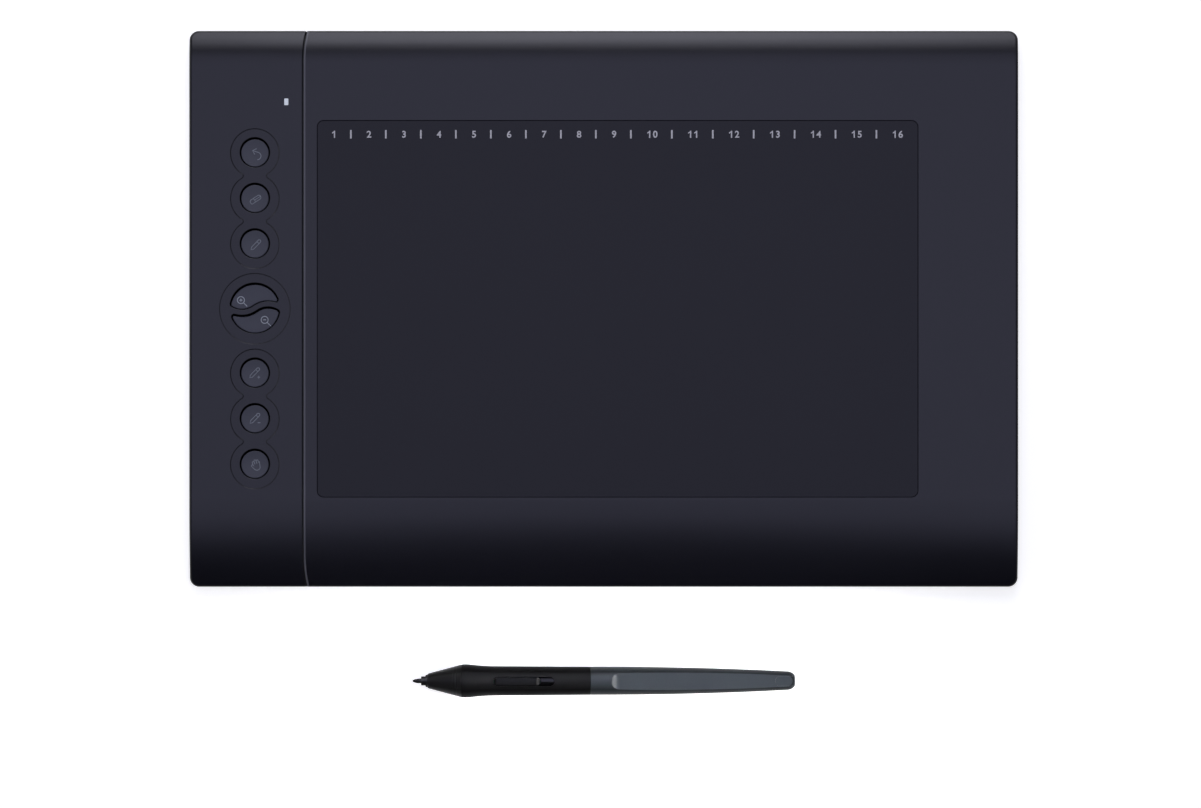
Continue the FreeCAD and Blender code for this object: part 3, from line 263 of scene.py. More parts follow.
def moulded_group():
    """Fine spark-eroded grain of moulded plastic or rubber, with slight mottling."""
    tree, graph, entry, result = new_group(
        "moulded grain",
        [
            ("Vector", "NodeSocketVector", None),
            ("Colour", "NodeSocketColor", (0.1, 0.1, 0.1, 1.0)),
            ("Mottle", "NodeSocketFloat", 0.1),
            ("Roughness", "NodeSocketFloat", 0.5),
            ("Roughness Spread", "NodeSocketFloat", 0.08),
            ("Grain Size", "NodeSocketFloat", 0.3),
        ],
        [("Colour", "NodeSocketColor"), ("Roughness", "NodeSocketFloat"), ("Height", "NodeSocketFloat")],
    )
    density = graph.maths("DIVIDE", millimetres_per_metre, entry.outputs["Grain Size"])
    grain = graph.add(
        "ShaderNodeTexNoise",
        {"Vector": entry.outputs["Vector"], "Scale": density, "Detail": 3.0, "Roughness": 0.6},
    )
    cloud = graph.add(
        "ShaderNodeTexNoise",
        {"Vector": entry.outputs["Vector"], "Scale": mottle_scale, "Detail": 4.0, "Roughness": 0.55},
    )
    cloud_centred = graph.maths("SUBTRACT", cloud.outputs["Fac"], 0.5)
    grain_centred = graph.maths("SUBTRACT", grain.outputs["Fac"], 0.5)
    both = graph.maths("ADD", cloud_centred, grain_centred)
    tone = graph.maths("MULTIPLY_ADD", both, entry.outputs["Mottle"], 1.0)
    rough = graph.maths("MULTIPLY_ADD", both, entry.outputs["Roughness Spread"], entry.outputs["Roughness"])
    graph.join(graph.scaled(entry.outputs["Colour"], tone), result.inputs["Colour"])
    graph.join(rough, result.inputs["Roughness"])
    graph.join(grain.outputs["Fac"], result.inputs["Height"])
    return tree


def flake_group():
    """Small bright flakes in a satin paint."""
    tree, graph, entry, result = new_group(
        "paint flakes",
        [
            ("Vector", "NodeSocketVector", None),
            ("Colour", "NodeSocketColor", (0.1, 0.1, 0.1, 1.0)),
            ("Flake Colour", "NodeSocketColor", (0.4, 0.42, 0.45, 1.0)),
            ("Flake Size", "NodeSocketFloat", 0.12),
            ("Amount", "NodeSocketFloat", 0.3),
        ],
        [("Colour", "NodeSocketColor"), ("Mask", "NodeSocketFloat"), ("Height", "NodeSocketFloat")],
    )
    density = graph.maths("DIVIDE", millimetres_per_metre, entry.outputs["Flake Size"])
    cells = graph.add("ShaderNodeTexVoronoi", {"Vector": entry.outputs["Vector"], "Scale": density})
    spread = graph.add("ShaderNodeSeparateColor", {"Color": cells.outputs["Color"]})
    mask = graph.ramp(spread.outputs["Red"], 0.55, 1.0, 0.0, entry.outputs["Amount"])
    flaked = graph.blend(mask, entry.outputs["Colour"], entry.outputs["Flake Colour"])
    graph.join(flaked, result.inputs["Colour"])
    graph.join(mask, result.inputs["Mask"])
    graph.join(spread.outputs["Green"], result.inputs["Height"])
    return tree


def brushed_group():
    """Fine drawn lines in metal, along one axis."""
    tree, graph, entry, result = new_group(
        "drawn metal",
        [
            ("Vector", "NodeSocketVector", None),
            ("Colour", "NodeSocketColor", (0.5, 0.5, 0.5, 1.0)),
            ("Stretch", "NodeSocketVector", (1.0, 0.03, 1.0)),
            ("Roughness", "NodeSocketFloat", 0.35),
        ],
        [("Colour", "NodeSocketColor"), ("Roughness", "NodeSocketFloat"), ("Height", "NodeSocketFloat")],
    )
    stretched = graph.add(
        "ShaderNodeVectorMath",
        {0: entry.outputs["Vector"], 1: entry.outputs["Stretch"]},
        operation="MULTIPLY",
    )
    lines = graph.add(
        "ShaderNodeTexNoise",
        {"Vector": stretched.outputs["Vector"], "Scale": drawn_line_scale, "Detail": 3.0, "Roughness": 0.7},
    )
    tone = graph.maths("MULTIPLY_ADD", lines.outputs["Fac"], 0.3, 0.85)
    rough = graph.maths("MULTIPLY_ADD", lines.outputs["Fac"], 0.2, entry.outputs["Roughness"])
    graph.join(graph.scaled(entry.outputs["Colour"], tone), result.inputs["Colour"])
    graph.join(rough, result.inputs["Roughness"])
    graph.join(lines.outputs["Fac"], result.inputs["Height"])
    return tree


grain_group = moulded_group()
flakes_group = flake_group()
drawn_group = brushed_group()


# Materials


def start_material(name):
    """An empty material with its surface shader and the object's own coordinates."""
    material = bpy.data.materials.new(name)
    material.use_nodes = True
    material.node_tree.nodes.clear()
    graph = Graph(material.node_tree)
    output = graph.add("ShaderNodeOutputMaterial")
    shader = graph.add("ShaderNodeBsdfPrincipled")
    graph.join(shader.outputs["BSDF"], output.inputs["Surface"])
    place = graph.add("ShaderNodeTexCoord")
    return material, graph, shader, place.outputs["Object"]


def raise_grain(graph, shader, height, depth_mm):
    """Turn a height into the surface's small relief."""
    bump = graph.add("ShaderNodeBump", {"Height": height, "Distance": depth_mm * millimetre, "Strength": 1.0})
    graph.join(bump.outputs["Normal"], shader.inputs["Normal"])


def moulded(name, colour, roughness, specular=0.5, grain_mm=0.3, depth_mm=0.02, mottle=0.12, spread=0.1):
    """Moulded plastic or rubber."""
    material, graph, shader, place = start_material(name)
    grain = graph.add("ShaderNodeGroup", node_tree=grain_group)
    graph.join(place, grain.inputs["Vector"])
    grain.inputs["Colour"].default_value = (*colour, 1.0)
    grain.inputs["Mottle"].default_value = mottle
    grain.inputs["Roughness"].default_value = roughness
    grain.inputs["Roughness Spread"].default_value = spread
    grain.inputs["Grain Size"].default_value = grain_mm
    graph.join(grain.outputs["Colour"], shader.inputs["Base Color"])
    graph.join(grain.outputs["Roughness"], shader.inputs["Roughness"])
    shader.inputs["Specular IOR Level"].default_value = specular
    raise_grain(graph, shader, grain.outputs["Height"], depth_mm)
    return material


def reopened(material):
    """The graph, the surface shader and the colour of a finished material."""
    graph = Graph(material.node_tree)
    shader = material.node_tree.nodes["Principled BSDF"]
    return graph, shader, shader.inputs["Base Color"].links[0].from_socket


def place_on_object(graph):
    """The X, Y and Z of the place on the object that a finish is seen at."""
    coordinates = graph.tree.nodes["Texture Coordinate"]
    return graph.add("ShaderNodeSeparateXYZ", {"Vector": coordinates.outputs["Object"]}).outputs


def darken_below(material, level):
    """Paint a moulded finish dull black and without gloss below a height: painted shade, which makes the gap
    round a key read as shadow.
    """
    graph, shader, colour = reopened(material)
    place = place_on_object(graph)
    above = graph.ramp(place["Z"], level - key_shade_blend, level + key_shade_blend, 0.0, 1.0)
    gloss = graph.maths("MULTIPLY", above, shader.inputs["Specular IOR Level"].default_value)
    graph.join(graph.blend(above, key_shade_colour, colour), shader.inputs["Base Color"])
    graph.join(gloss, shader.inputs["Specular IOR Level"])


def rub_beside_seam(material, seam):
    """A painted highlight: a narrow lighter band painted into a cover's colour along its edge at the seam."""
    graph, shader, colour = reopened(material)
    place = place_on_object(graph)
    middle = seam + seam_highlight_start + seam_highlight_width / 2
    past = graph.maths("SUBTRACT", graph.maths("ABSOLUTE", place["Y"]), seam_straight_end)
    square = graph.maths("POWER", graph.maths("MAXIMUM", past, 0.0), 2.0)
    line = graph.maths("ADD", graph.maths("DIVIDE", square, 2 * seam_flare_radius), middle)
    away = graph.maths("ABSOLUTE", graph.maths("SUBTRACT", place["X"], line))
    band = graph.ramp(away, seam_highlight_width * seam_highlight_full, seam_highlight_width * seam_highlight_gone, 1.0, 0.0)
    graph.join(graph.blend(band, colour, seam_highlight_colour), shader.inputs["Base Color"])


def fade_to_edge(material, face_level, edge_level, edge_shade):
    """Lower a finish's gloss where it turns away from the eye, as rough rubber and flaked paint do, and
    darken its colour there as painted shade along the sides.
    """
    graph, shader, colour = reopened(material)
    turn = graph.add("ShaderNodeLayerWeight").outputs["Facing"]
    level = graph.ramp(turn, side_shade_start, side_shade_end, face_level, edge_level)
    shade = graph.ramp(turn, side_shade_start, side_shade_end, 1.0, edge_shade)
    graph.join(level, shader.inputs["Specular IOR Level"])
    graph.join(graph.scaled(colour, shade), shader.inputs["Base Color"])


def painted(name, colour, flake_colour, roughness):
    """Satin paint with fine flakes."""
    material, graph, shader, place = start_material(name)
    flakes = graph.add("ShaderNodeGroup", node_tree=flakes_group)
    graph.join(place, flakes.inputs["Vector"])
    flakes.inputs["Colour"].default_value = (*colour, 1.0)
    flakes.inputs["Flake Colour"].default_value = (*flake_colour, 1.0)
    graph.join(flakes.outputs["Colour"], shader.inputs["Base Color"])
    graph.join(flakes.outputs["Mask"], shader.inputs["Metallic"])
    shader.inputs["Roughness"].default_value = roughness
    raise_grain(graph, shader, flakes.outputs["Height"], 0.004)
    return material


def metal(name, colour, roughness, stretch=(1.0, 0.03, 1.0)):
    """Drawn or rolled metal."""
    material, graph, shader, place = start_material(name)
    drawn = graph.add("ShaderNodeGroup", node_tree=drawn_group)
    graph.join(place, drawn.inputs["Vector"])
    drawn.inputs["Colour"].default_value = (*colour, 1.0)
    drawn.inputs["Stretch"].default_value = stretch
    drawn.inputs["Roughness"].default_value = roughness
    graph.join(drawn.outputs["Colour"], shader.inputs["Base Color"])
    graph.join(drawn.outputs["Roughness"], shader.inputs["Roughness"])
    shader.inputs["Metallic"].default_value = 1.0
    raise_grain(graph, shader, drawn.outputs["Height"], 0.003)
    return material


def glowing_window(name):
    """The clear window of the status light, lit from below."""
    material, graph, shader, place = start_material(name)
    cloud = graph.add("ShaderNodeTexNoise", {"Vector": place, "Scale": window_cloud_scale, "Detail": 2.0})
    tone = graph.ramp(cloud.outputs["Fac"], 0.3, 0.7, 0.88, 1.0)
    colour = graph.scaled(window_colour, tone)
    graph.join(colour, shader.inputs["Base Color"])
    graph.join(colour, shader.inputs["Emission Color"])
    shader.inputs["Emission Strength"].default_value = window_glow
    shader.inputs["Roughness"].default_value = 0.25
    return material


def laminate(name, colour, copper):
    """Circuit board with faint copper tracks under its varnish."""
    material, graph, shader, place = start_material(name)
    grid = graph.add(
        "ShaderNodeTexBrick",
        {"Vector": place, "Scale": track_scale, "Mortar Size": 0.03, "Brick Width": 0.9, "Row Height": 0.22},
    )
    grid.inputs["Color1"].default_value = (*colour, 1.0)
    grid.inputs["Color2"].default_value = (*[c * 0.8 for c in colour], 1.0)
    grid.inputs["Mortar"].default_value = (*copper, 1.0)
    graph.join(grid.outputs["Color"], shader.inputs["Base Color"])
    shader.inputs["Roughness"].default_value = 0.35
    raise_grain(graph, shader, grid.outputs["Fac"], 0.02)
    return material


def cover_plastic(name):
    """The satin plastic of the shell."""
    return moulded(
        name, cover_colour, cover_roughness, cover_specular, grain_mm=0.25, depth_mm=0.001, spread=0.03
    )


def finishes():
    """Every CAD node's name with its material."""
    cover = cover_plastic("satin cover plastic")
    # This copy of the cover plastic carries the painted highlight beside the seam.
    seam_highlighted = cover_plastic("satin cover plastic, light at the seam")
    rub_beside_seam(seam_highlighted, sheet_low.x - seam_to_sheet)
    sheet = moulded(
        "matte sheet film", (0.0054, 0.0052, 0.0086), 0.3, 0.36, grain_mm=0.18, depth_mm=0.001, spread=0.03
    )
    key = moulded("key plastic", (0.082, 0.086, 0.11), 0.4, 0.3, grain_mm=0.22, depth_mm=0.002, spread=0.04)
    # Painted shade on the keys below their tops, in the gaps round them.
    darken_below(key, key_shade_level)
    screw = metal("zinc screw", (0.55, 0.55, 0.56), 0.3)
    board = laminate("green laminate", (0.015, 0.09, 0.04), (0.12, 0.2, 0.08))
    chip = moulded("chip resin", (0.02, 0.02, 0.022), 0.6)
    switch = moulded("switch body", (0.03, 0.03, 0.032), 0.45)
    plunger = moulded("plunger plastic", (0.7, 0.7, 0.66), 0.4)
    inner = moulded("inner pen plastic", (0.0165, 0.0165, 0.0172), 0.5, 0.25)
    cone = moulded("polished black plastic", (0.0063, 0.0063, 0.0066), 0.3, 0.5, depth_mm=0.004)
    # The cone, the barrel and the grip get painted shade along their sides.
    fade_to_edge(cone, 0.6, 0.1, 0.8)
    barrel = painted("slate paint", (0.037, 0.0465, 0.054), (0.096, 0.115, 0.126), 0.4)
    fade_to_edge(barrel, 0.5, 0.15, 0.36)
    grip = moulded("soft grip rubber", (0.007, 0.007, 0.0074), 0.5, 0.24, grain_mm=0.15, depth_mm=0.008)
    fade_to_edge(grip, 0.24, 0.05, 0.4)
    table = {
        "top_cover": seam_highlighted,
        "key_panel": cover,
        "bottom_cover": cover,
        "drawing_sheet": sheet,
        "sensor_board": board,
        "shield_plate": metal("shield sheet", (0.72, 0.73, 0.75), 0.28),
        "control_board": board,
        "board_screws": screw,
        "case_screws": screw,
        "controller_chips": chip,
        "status_lamp": moulded("lamp resin", (0.8, 0.8, 0.72), 0.3),
        "status_window": glowing_window("lit window"),
        "flex_connector": moulded("connector plastic", (0.7, 0.67, 0.56), 0.45),
        "flat_cable": moulded("amber film", (0.42, 0.18, 0.03), 0.3),
        "usb_socket": metal("socket steel", (0.6, 0.6, 0.61), 0.22, (0.05, 1.0, 1.0)),
        "switch_housings": switch,
        "rubber_feet": moulded("foot rubber", (0.02, 0.02, 0.022), 0.75, 0.3, grain_mm=0.5),
        "nib": moulded("nib plastic", (0.0074, 0.0074, 0.0078), 0.32, 0.35),
        "nib_bush": cone,
        "nose_cone": cone,
        "nib_holder": inner,
        "front_barrel": moulded("polished slot floor", (0.003, 0.003, 0.0033), 0.16, 0.5, depth_mm=0.001),
        "pen_carrier": inner,
        "grip_sleeve": grip,
        "rear_barrel": barrel,
        "tail_plug": barrel,
        "side_key": moulded("side key plastic", (0.007, 0.007, 0.0074), 0.36, 0.18, depth_mm=0.005),
        "pen_board": board,
        "side_switches": switch,
        "ferrite_core": moulded("ferrite", (0.05, 0.05, 0.055), 0.65),
        "core_winding": metal("enamelled copper", (0.6, 0.22, 0.09), 0.3, (1.0, 0.02, 0.02)),
        "force_sensor": chip,
    }
    table.update({name: key for name in drawings})
    table.update({name: plunger for name in nodes if "plunger" in name})
    return table


def dress_nodes():
    """Give every CAD node its finish."""
    for name, material in finishes().items():
        slots = nodes[name].data.materials
        slots.clear()
        slots.append(material)


# Printed scale


def number_place(number):
    """Where one number of the scale stands, along X."""
    ones = min(number, last_one_digit) - 1
    tens = number - last_one_digit
    place = scale_start + ones * one_digit_pitch
    if tens > 0:
        place += first_two_digit_pitch + (tens - 1) * two_digit_pitch
    return place


def tick_place(number):
    """Where the tick after a number stands, along X."""
    pitch = one_digit_pitch if number <= last_one_digit else two_digit_pitch
    return number_place(number) + pitch * tick_share


def plain_mesh(shown):
    """The finished mesh of an object that was drawn in millimetres, in metres, and the object removed."""
    bpy.context.view_layer.update()
    mesh = bpy.data.meshes.new_from_object(shown.evaluated_get(bpy.context.evaluated_depsgraph_get()))
    bpy.data.objects.remove(shown)
    for vertex in mesh.vertices:
        vertex.co *= millimetre
    return mesh


def outlined_one():
    """The figure 1 with its flag, as a filled outline in millimetres."""
    curve = bpy.data.curves.new("figure 1", "CURVE")
    curve.dimensions = "2D"
    curve.fill_mode = "BOTH"
    outline = curve.splines.new("POLY")
    outline.points.add(len(figure_one) - 1)
    for point, (x, y) in zip(outline.points, figure_one):
        point.co = (x, y, 0.0, 1.0)
    outline.use_cyclic_u = True
    return curve


def lettered(figure):
    """One figure from the plain letter shapes, made bolder, in millimetres."""
    curve = bpy.data.curves.new("figure " + figure, "FONT")
    curve.body = figure
    curve.size = digit_size
    curve.offset = digit_weight
    curve.align_x = "CENTER"
    return curve


def flat_figure(figure, x, y, z):
    """One figure as a thin mesh, centred on x and y."""
    curve = outlined_one() if figure == "1" else lettered(figure)
    curve.extrude = print_thickness / 2
    mesh = plain_mesh(link(bpy.data.objects.new("figure " + figure, curve)))
    middle_y = (min(v.co.y for v in mesh.vertices) + max(v.co.y for v in mesh.vertices)) / 2
    for vertex in mesh.vertices:
        vertex.co += Vector((x, y - middle_y, z))
    return mesh


def joined_mesh(name, meshes):
    """One mesh from several."""
    whole = bmesh.new()
    for mesh in meshes:
        whole.from_mesh(mesh)
    result = bpy.data.meshes.new(name)
    whole.to_mesh(result)
    whole.free()
    return result


def printed_numbers():
    """The numbers of the scale."""
    level = sheet_high.z + print_thickness * millimetre / 2
    meshes = []
    for number in range(1, scale_count + 1):
        figures = str(number)
        first = number_place(number) - (len(figures) - 1) * digit_pitch * millimetre / 2
        for place, figure in enumerate(figures):
            meshes.append(flat_figure(figure, first + place * digit_pitch * millimetre, scale_line, level))
    return mesh_piece("scale_numbers", joined_mesh("scale_numbers", meshes))


def row_tree(name):
    """A geometry tree that puts one small bar on each point that it is given."""
    tree = bpy.data.node_groups.new(name, "GeometryNodeTree")
    for label, kind in (
        ("Points", "NodeSocketGeometry"),
        ("Size", "NodeSocketVector"),
        ("Finish", "NodeSocketMaterial"),
    ):
        tree.interface.new_socket(label, in_out="INPUT", socket_type=kind)
    tree.interface.new_socket("Bars", in_out="OUTPUT", socket_type="NodeSocketGeometry")
    graph = Graph(tree)
    entry = graph.add("NodeGroupInput")
    result = graph.add("NodeGroupOutput")
    bar = graph.add("GeometryNodeMeshCube")
    graph.join(entry.outputs["Size"], bar.inputs["Size"])
    rows = graph.add("GeometryNodeInstanceOnPoints")
    graph.join(entry.outputs["Points"], rows.inputs["Points"])
    graph.join(bar.outputs["Mesh"], rows.inputs["Instance"])
    real = graph.add("GeometryNodeRealizeInstances")
    graph.join(rows.outputs["Instances"], real.inputs["Geometry"])
    painted_bars = graph.add("GeometryNodeSetMaterial")
    graph.join(real.outputs["Geometry"], painted_bars.inputs["Geometry"])
    graph.join(entry.outputs["Finish"], painted_bars.inputs["Material"])
    graph.join(painted_bars.outputs["Geometry"], result.inputs["Bars"])
    return tree


def grow(name, tree, places, values):
    """Run a geometry tree on points at the given places, and keep the result as a plain mesh."""
    points = bpy.data.meshes.new(name + " points")
    points.from_pydata([tuple(place) for place in places], [], [])
    carrier = mesh_piece(name + " carrier", points)
    modifier = carrier.modifiers.new("row", "NODES")
    modifier.node_group = tree
    for item in tree.interface.items_tree:
        if item.item_type == "SOCKET" and item.in_out == "INPUT" and item.name in values:
            modifier[item.identifier] = values[item.name]
    bpy.context.view_layer.update()
    mesh = bpy.data.meshes.new_from_object(carrier.evaluated_get(bpy.context.evaluated_depsgraph_get()))
    carrier.modifiers.remove(modifier)
    bpy.data.objects.remove(carrier)
    mesh.name = name
    return mesh_piece(name, mesh)


def printed_ticks(ink, tree):
    """The short strokes between the numbers."""
    level = sheet_high.z + print_thickness * millimetre / 2
    places = [(tick_place(n), scale_line, level) for n in range(1, scale_count)]
    size = (tick_width * millimetre, tick_length * millimetre, print_thickness * millimetre)
    return grow("scale_ticks", tree, places, {"Size": size, "Finish": ink})


def socket_contacts(tree):
    """The gold contacts on both faces of the socket's tongue."""
    low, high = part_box("usb_socket")
    middle_y = (low.y + high.y) / 2
    middle_z = (low.z + high.z) / 2
    gold = metal("contact gold", (0.75, 0.52, 0.2), 0.25, (0.05, 1.0, 1.0))
    x = low.x + (contact_setback + contact_length / 2) * millimetre
    places = []
    for side in (-1, 1):
        for place in range(contact_count):
            y = middle_y + (place - (contact_count - 1) / 2) * contact_pitch * millimetre
            places.append((x, y, middle_z + side * contact_level * millimetre))
    size = (contact_length * millimetre, contact_width * millimetre, contact_thickness * millimetre)
    contacts = grow("socket_contacts", tree, places, {"Size": size, "Finish": gold})
    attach(contacts, "tablet")


def print_scale(tree):
    """The whole printed scale on the sheet."""
    ink = moulded("printed ink", (0.67, 0.67, 0.7), 0.6, 0.3, grain_mm=0.2, depth_mm=0.002, mottle=0.2)
    numbers = printed_numbers()
    numbers.data.materials.clear()
    numbers.data.materials.append(ink)
    ticks = printed_ticks(ink, tree)
    for piece in (numbers, ticks):
        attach(piece, "tablet")


# Pictograms


def arc_points(x, y, radius, start, end):
    """Points along an arc, in degrees anticlockwise from the right."""
    points = []
    for step in range(arc_steps + 1):
        turn = math.radians(start + (end - start) * step / arc_steps)
        points.append((x + radius * math.cos(turn), y + radius * math.sin(turn)))
    return points


def tilted(lines, degrees, x=0.0, y=0.0):
    """Lines turned about the origin, then moved."""
    cos, sin = math.cos(math.radians(degrees)), math.sin(math.radians(degrees))
    return [[(x + px * cos - py * sin, y + px * sin + py * cos) for px, py in line] for line in lines]


def pencil_lines():
    """A pencil that lies along X and points to the left."""
    half = pencil_half_width
    outline = [(-2.9, 0.0), (-1.9, half), (2.2, half)] + arc_points(2.2, 0.0, half, 90, -90)
    outline += [(-1.9, -half), (-2.9, 0.0)]
    return [outline, [(1.4, -half), (1.4, half)]]


def eraser_lines():
    """A block seen from the side, with the band round its middle."""
    block = [(-2.3, -0.9), (1.5, -0.9)] + arc_points(1.6, 0.0, 0.9, -90, 90) + [(-1.7, 0.9)]
    block += arc_points(-1.7, 0.0, 0.9, 90, 180) + [(-2.6, -0.6), (-2.3, -0.9)]
    return [block, [(-0.6, -0.9), (-0.6, 0.9)], [(-0.6, 0.0), (2.4, 0.0)]]


def arrow_lines():
    """An arrow that bends back to the left."""
    shaft = [(-1.7, 0.9), (0.8, 0.9)] + arc_points(0.8, -0.7, 1.6, 90, -70)
    return [shaft, [(-0.4, 2.2), (-1.8, 0.9), (-0.4, -0.4)]]


def hand_lines():
    """An open hand with its fingers together."""
    palm = [(-2.1, 0.2), (-1.2, -1.6)] + arc_points(0.1, -1.0, 1.4, 215, 330) + [(1.9, 0.9)]
    half = finger_half_width
    fingers = []
    for place, top in ((-0.75, 1.7), (0.15, 2.1), (1.05, 1.8)):
        tip = arc_points(place, top - half, half, 180, 0)
        fingers.append([(place - half, 0.3)] + tip + [(place + half, 0.3)])
    return [palm, [(-2.1, 0.2), (-1.5, 0.6), (-1.0, -0.2)]] + fingers


def lens_lines():
    """A magnifying lens with its handle to the lower right."""
    rim = lens_radius * math.sqrt(0.5)
    end = rim + lens_handle
    return [arc_points(0, 0, lens_radius, 0, 360), [(rim, -rim), (end, -end)]]


def cross_lines(x, y, size, upright):
    """A minus sign, and with upright a plus sign."""
    lines = [[(x - size, y), (x + size, y)]]
    if upright:
        lines.append([(x, y - size), (x, y + size)])
    return lines


def drawing_lines(kind):
    """The lines of one pictogram."""
    upright = kind.endswith("plus")
    if kind == "arrow":
        return tilted(arrow_lines(), drawing_tilts["arrow"], 0.1, -0.1)
    if kind == "eraser":
        return tilted(eraser_lines(), drawing_tilts["eraser"])
    if kind == "pencil":
        return tilted(pencil_lines(), drawing_tilts["pencil"])
    if kind.startswith("pencil with"):
        pencil = tilted(pencil_lines(), drawing_tilts["pencil"], -0.3, 0.3)
        return pencil + cross_lines(1.5, -1.5, 0.6, upright)
    if kind == "hand":
        return tilted(hand_lines(), drawing_tilts["hand"])
    return lens_lines() + cross_lines(0, 0, 0.65, upright)


def drawn_mesh(name, lines):
    """Lines of ink, low and rounded across, as a mesh."""
    curve = bpy.data.curves.new(name, "CURVE")
    curve.dimensions = "3D"
    curve.twist_mode = "Z_UP"
    curve.bevel_depth = line_width / 2
    curve.bevel_resolution = 1
    curve.use_fill_caps = True
    for line in lines:
        closed = math.dist(line[0], line[-1]) < 0.01
        points = line[:-1] if closed else line
        spline = curve.splines.new("POLY")
        spline.points.add(len(points) - 1)
        for point, (x, y) in zip(spline.points, points):
            point.co = (x, y, 0.0, 1.0)
        spline.use_cyclic_u = closed
    mesh = plain_mesh(link(bpy.data.objects.new(name, curve)))
    for vertex in mesh.vertices:
        vertex.co.z *= 2 * line_rise / line_width
    return mesh


def laid_on(mesh, node, x, y):
    """Move a flat mesh over a place on a node, and let it follow the surface below."""
    solid = nodes[node].data
    corners = [vertex.co.copy() for vertex in solid.vertices]
    surface = BVHTree.FromPolygons(corners, [tuple(face.vertices) for face in solid.polygons])
    for vertex in mesh.vertices:
        vertex.co += Vector((x, y, 0.0))
        above = Vector((vertex.co.x, vertex.co.y, 2 * top_level))
        hit = surface.ray_cast(above, Vector((0.0, 0.0, -1.0)))[0]
        vertex.co.z += hit.z


def key_ink(name, colour):
    """The ink of the pictograms."""
    return moulded(name, colour, 0.5, 0.4, grain_mm=0.2, depth_mm=0.001, mottle=0.3)


def body_of(node):
    """The moving body that a key belongs to."""
    return node.replace("_key", "")


def draw_pictograms():
    """A pictogram on each key, paler on the two halves of the divided key."""
    ink = key_ink("key ink", (0.27, 0.295, 0.345))
    pale_ink = key_ink("pale key ink", (0.45, 0.49, 0.55))
    for node, (kind, (x, y)) in drawings.items():
        name = "pictogram_" + node
        mesh = drawn_mesh(name, drawing_lines(kind))
        laid_on(mesh, node, x * millimetre, y * millimetre)
        piece = mesh_piece(name, mesh)
        piece.data.materials.append(pale_ink if node.startswith("zoom") else ink)
        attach(piece, body_of(node))


# Studio


def soft_box(name, size, power, place, aim, tint=(1.0, 1.0, 1.0), spread=180.0):
    """A soft rectangular lamp that points at a place."""
    lamp = bpy.data.lights.new(name, "AREA")
    lamp.color = tint
    lamp.spread = math.radians(spread)
    lamp.shape = "RECTANGLE"
    lamp.size, lamp.size_y = size
    lamp.energy = power
    box = link(bpy.data.objects.new(name, lamp))
    box.location = place
    box.rotation_mode = "QUATERNION"
    box.rotation_quaternion = (Vector(aim) - Vector(place)).to_track_quat("-Z", "Y")


def overhead_box(name, left, right, front):
    """One of the equally bright soft boxes that hang level above the object, their rear ends in line."""
    size = (right - left, top_box_rear_end - front)
    below = Vector(((left + right) / 2, (front + top_box_rear_end) / 2, 0.0))
    place = below + Vector((0.0, 0.0, top_box_height))
    soft_box(name, size, top_box_level * size[0] * size[1], place, below, top_box_tint)


def from_above(distance, angle, turn):
    """A place at an angle from the upright, towards the rear and turned from there to the left."""
    reach = distance * math.sin(math.radians(angle))
    side = math.radians(turn)
    return (-reach * math.sin(side), reach * math.cos(side), distance * math.cos(math.radians(angle)))


def room_light():
    """A world that is pale round the horizon and dim overhead."""
    world = bpy.data.worlds.new("pale room")
    world.use_nodes = True
    graph = Graph(world.node_tree)
    direction = graph.add("ShaderNodeTexCoord").outputs["Generated"]
    height = graph.add("ShaderNodeSeparateXYZ", {"Vector": direction}).outputs["Z"]
    side = graph.add("ShaderNodeVectorMath", {0: direction, 1: bright_side}, operation="DOT_PRODUCT")
    horizon = graph.ramp(
        side.outputs["Value"], dim_side_end, bright_side_start, dim_side_level, horizon_level, "SMOOTHSTEP"
    )
    level = graph.ramp(height, horizon_end, zenith_start, horizon, zenith_level, "SMOOTHSTEP")
    background = world.node_tree.nodes["Background"]
    background.inputs["Color"].default_value = (1.0, 1.0, 1.0, 1.0)
    graph.join(level, background.inputs["Strength"])
    bpy.context.scene.world = world


def hang_lamps():
    """The soft boxes over and behind the tablet, and the strip that lights the pen from the right."""
    rear = from_above(rear_box_distance, rear_box_angle, 0.0)
    soft_box("rear soft box", rear_box_size, rear_box_power, rear, (0, 0, 0), rear_box_tint)
    pen_low, pen_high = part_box("rear_barrel")
    pen_middle = Vector((0.0, (pen_low.y + pen_high.y) / 2, pen_high.z))
    strip = pen_middle + Vector(from_above(pen_strip_distance, pen_strip_angle, -90.0))
    soft_box("pen strip", pen_strip_size, pen_strip_power, strip, pen_middle, spread=pen_strip_spread)
    overhead_box("top soft box", -top_box_half_width, top_box_half_width, top_box_front_end)
    overhead_box("left side box", -side_box_reach, -top_box_half_width, side_box_front_end)
    overhead_box("right side box", top_box_half_width, side_box_reach, side_box_front_end)


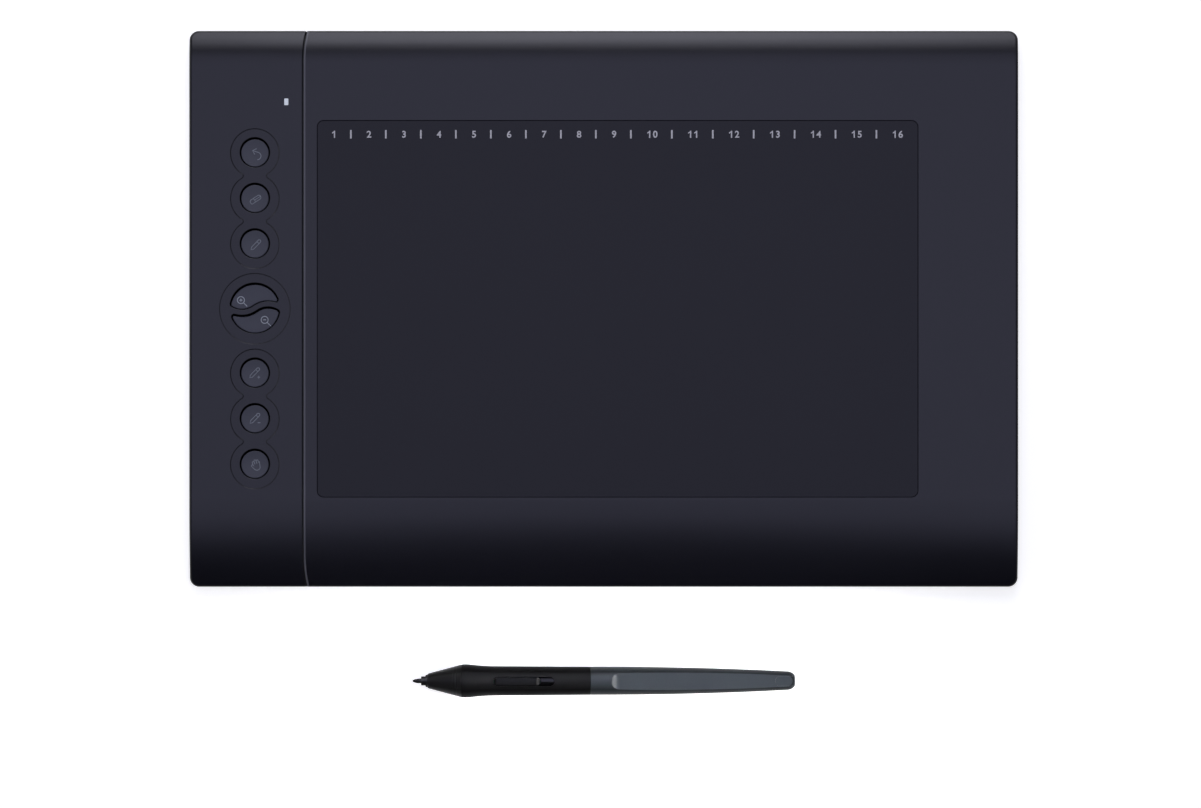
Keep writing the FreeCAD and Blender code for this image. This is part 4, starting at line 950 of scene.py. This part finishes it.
def lay_floor():
    """The wide pale floor under the tablet and the pen."""
    floor_mesh = bpy.data.meshes.new("floor")
    half = floor_size / 2
    corners = [(x, y, -floor_drop) for x, y in ((-half, -half), (half, -half), (half, half), (-half, half))]
    floor_mesh.from_pydata(corners, [], [(0, 1, 2, 3)])
    floor = mesh_piece("floor", floor_mesh)
    floor.data.materials.append(floor_finish())


def floor_finish():
    """Pale matte floor, clear from below and lifted for the eye alone, so that it keeps the shadows."""
    material, graph, shader, _ = start_material("pale floor")
    shader.inputs["Base Color"].default_value = floor_colour
    shader.inputs["Roughness"].default_value = 0.9
    shader.inputs["Specular IOR Level"].default_value = 0.1
    ray = graph.add("ShaderNodeLightPath")
    seen = graph.maths("MAXIMUM", ray.outputs["Is Camera Ray"], ray.outputs["Is Glossy Ray"])
    through = graph.maths("MAXIMUM", seen, ray.outputs["Is Transmission Ray"])
    shader.inputs["Emission Color"].default_value = (1.0, 1.0, 1.0, 1.0)
    graph.join(graph.maths("MULTIPLY", through, floor_lift), shader.inputs["Emission Strength"])
    facing = graph.add("ShaderNodeNewGeometry")
    clear = graph.add("ShaderNodeBsdfTransparent")
    either = graph.add("ShaderNodeMixShader", {"Fac": facing.outputs["Backfacing"]})
    graph.join(shader.outputs["BSDF"], either.inputs[1])
    graph.join(clear.outputs["BSDF"], either.inputs[2])
    graph.join(either.outputs["Shader"], material.node_tree.nodes["Material Output"].inputs["Surface"])
    return material


def camera():
    """The camera, straight above, framed as the photograph."""
    middle_x = (left_side + right_side) / 2
    middle_y = (front_side + rear_side) / 2
    x = middle_x + (photo_width_px - outline_left_px - outline_right_px) / 2 * metres_per_px
    y = middle_y + (outline_top_px + outline_bottom_px - photo_height_px) / 2 * metres_per_px
    lens = bpy.data.cameras.new("camera")
    lens.lens = lens_length
    lens.sensor_width = sensor_width
    lens.clip_end = sight_end
    eye = link(bpy.data.objects.new("camera", lens))
    distance = photo_width_px * metres_per_px * lens_length / sensor_width
    eye.location = (x, y, top_level + distance)
    bpy.context.scene.camera = eye


dress_nodes()
bars = row_tree("row of bars")
print_scale(bars)
socket_contacts(bars)
draw_pictograms()
hang_lamps()
room_light()
lay_floor()
camera()
bpy.context.scene.view_settings.view_transform = "Standard"
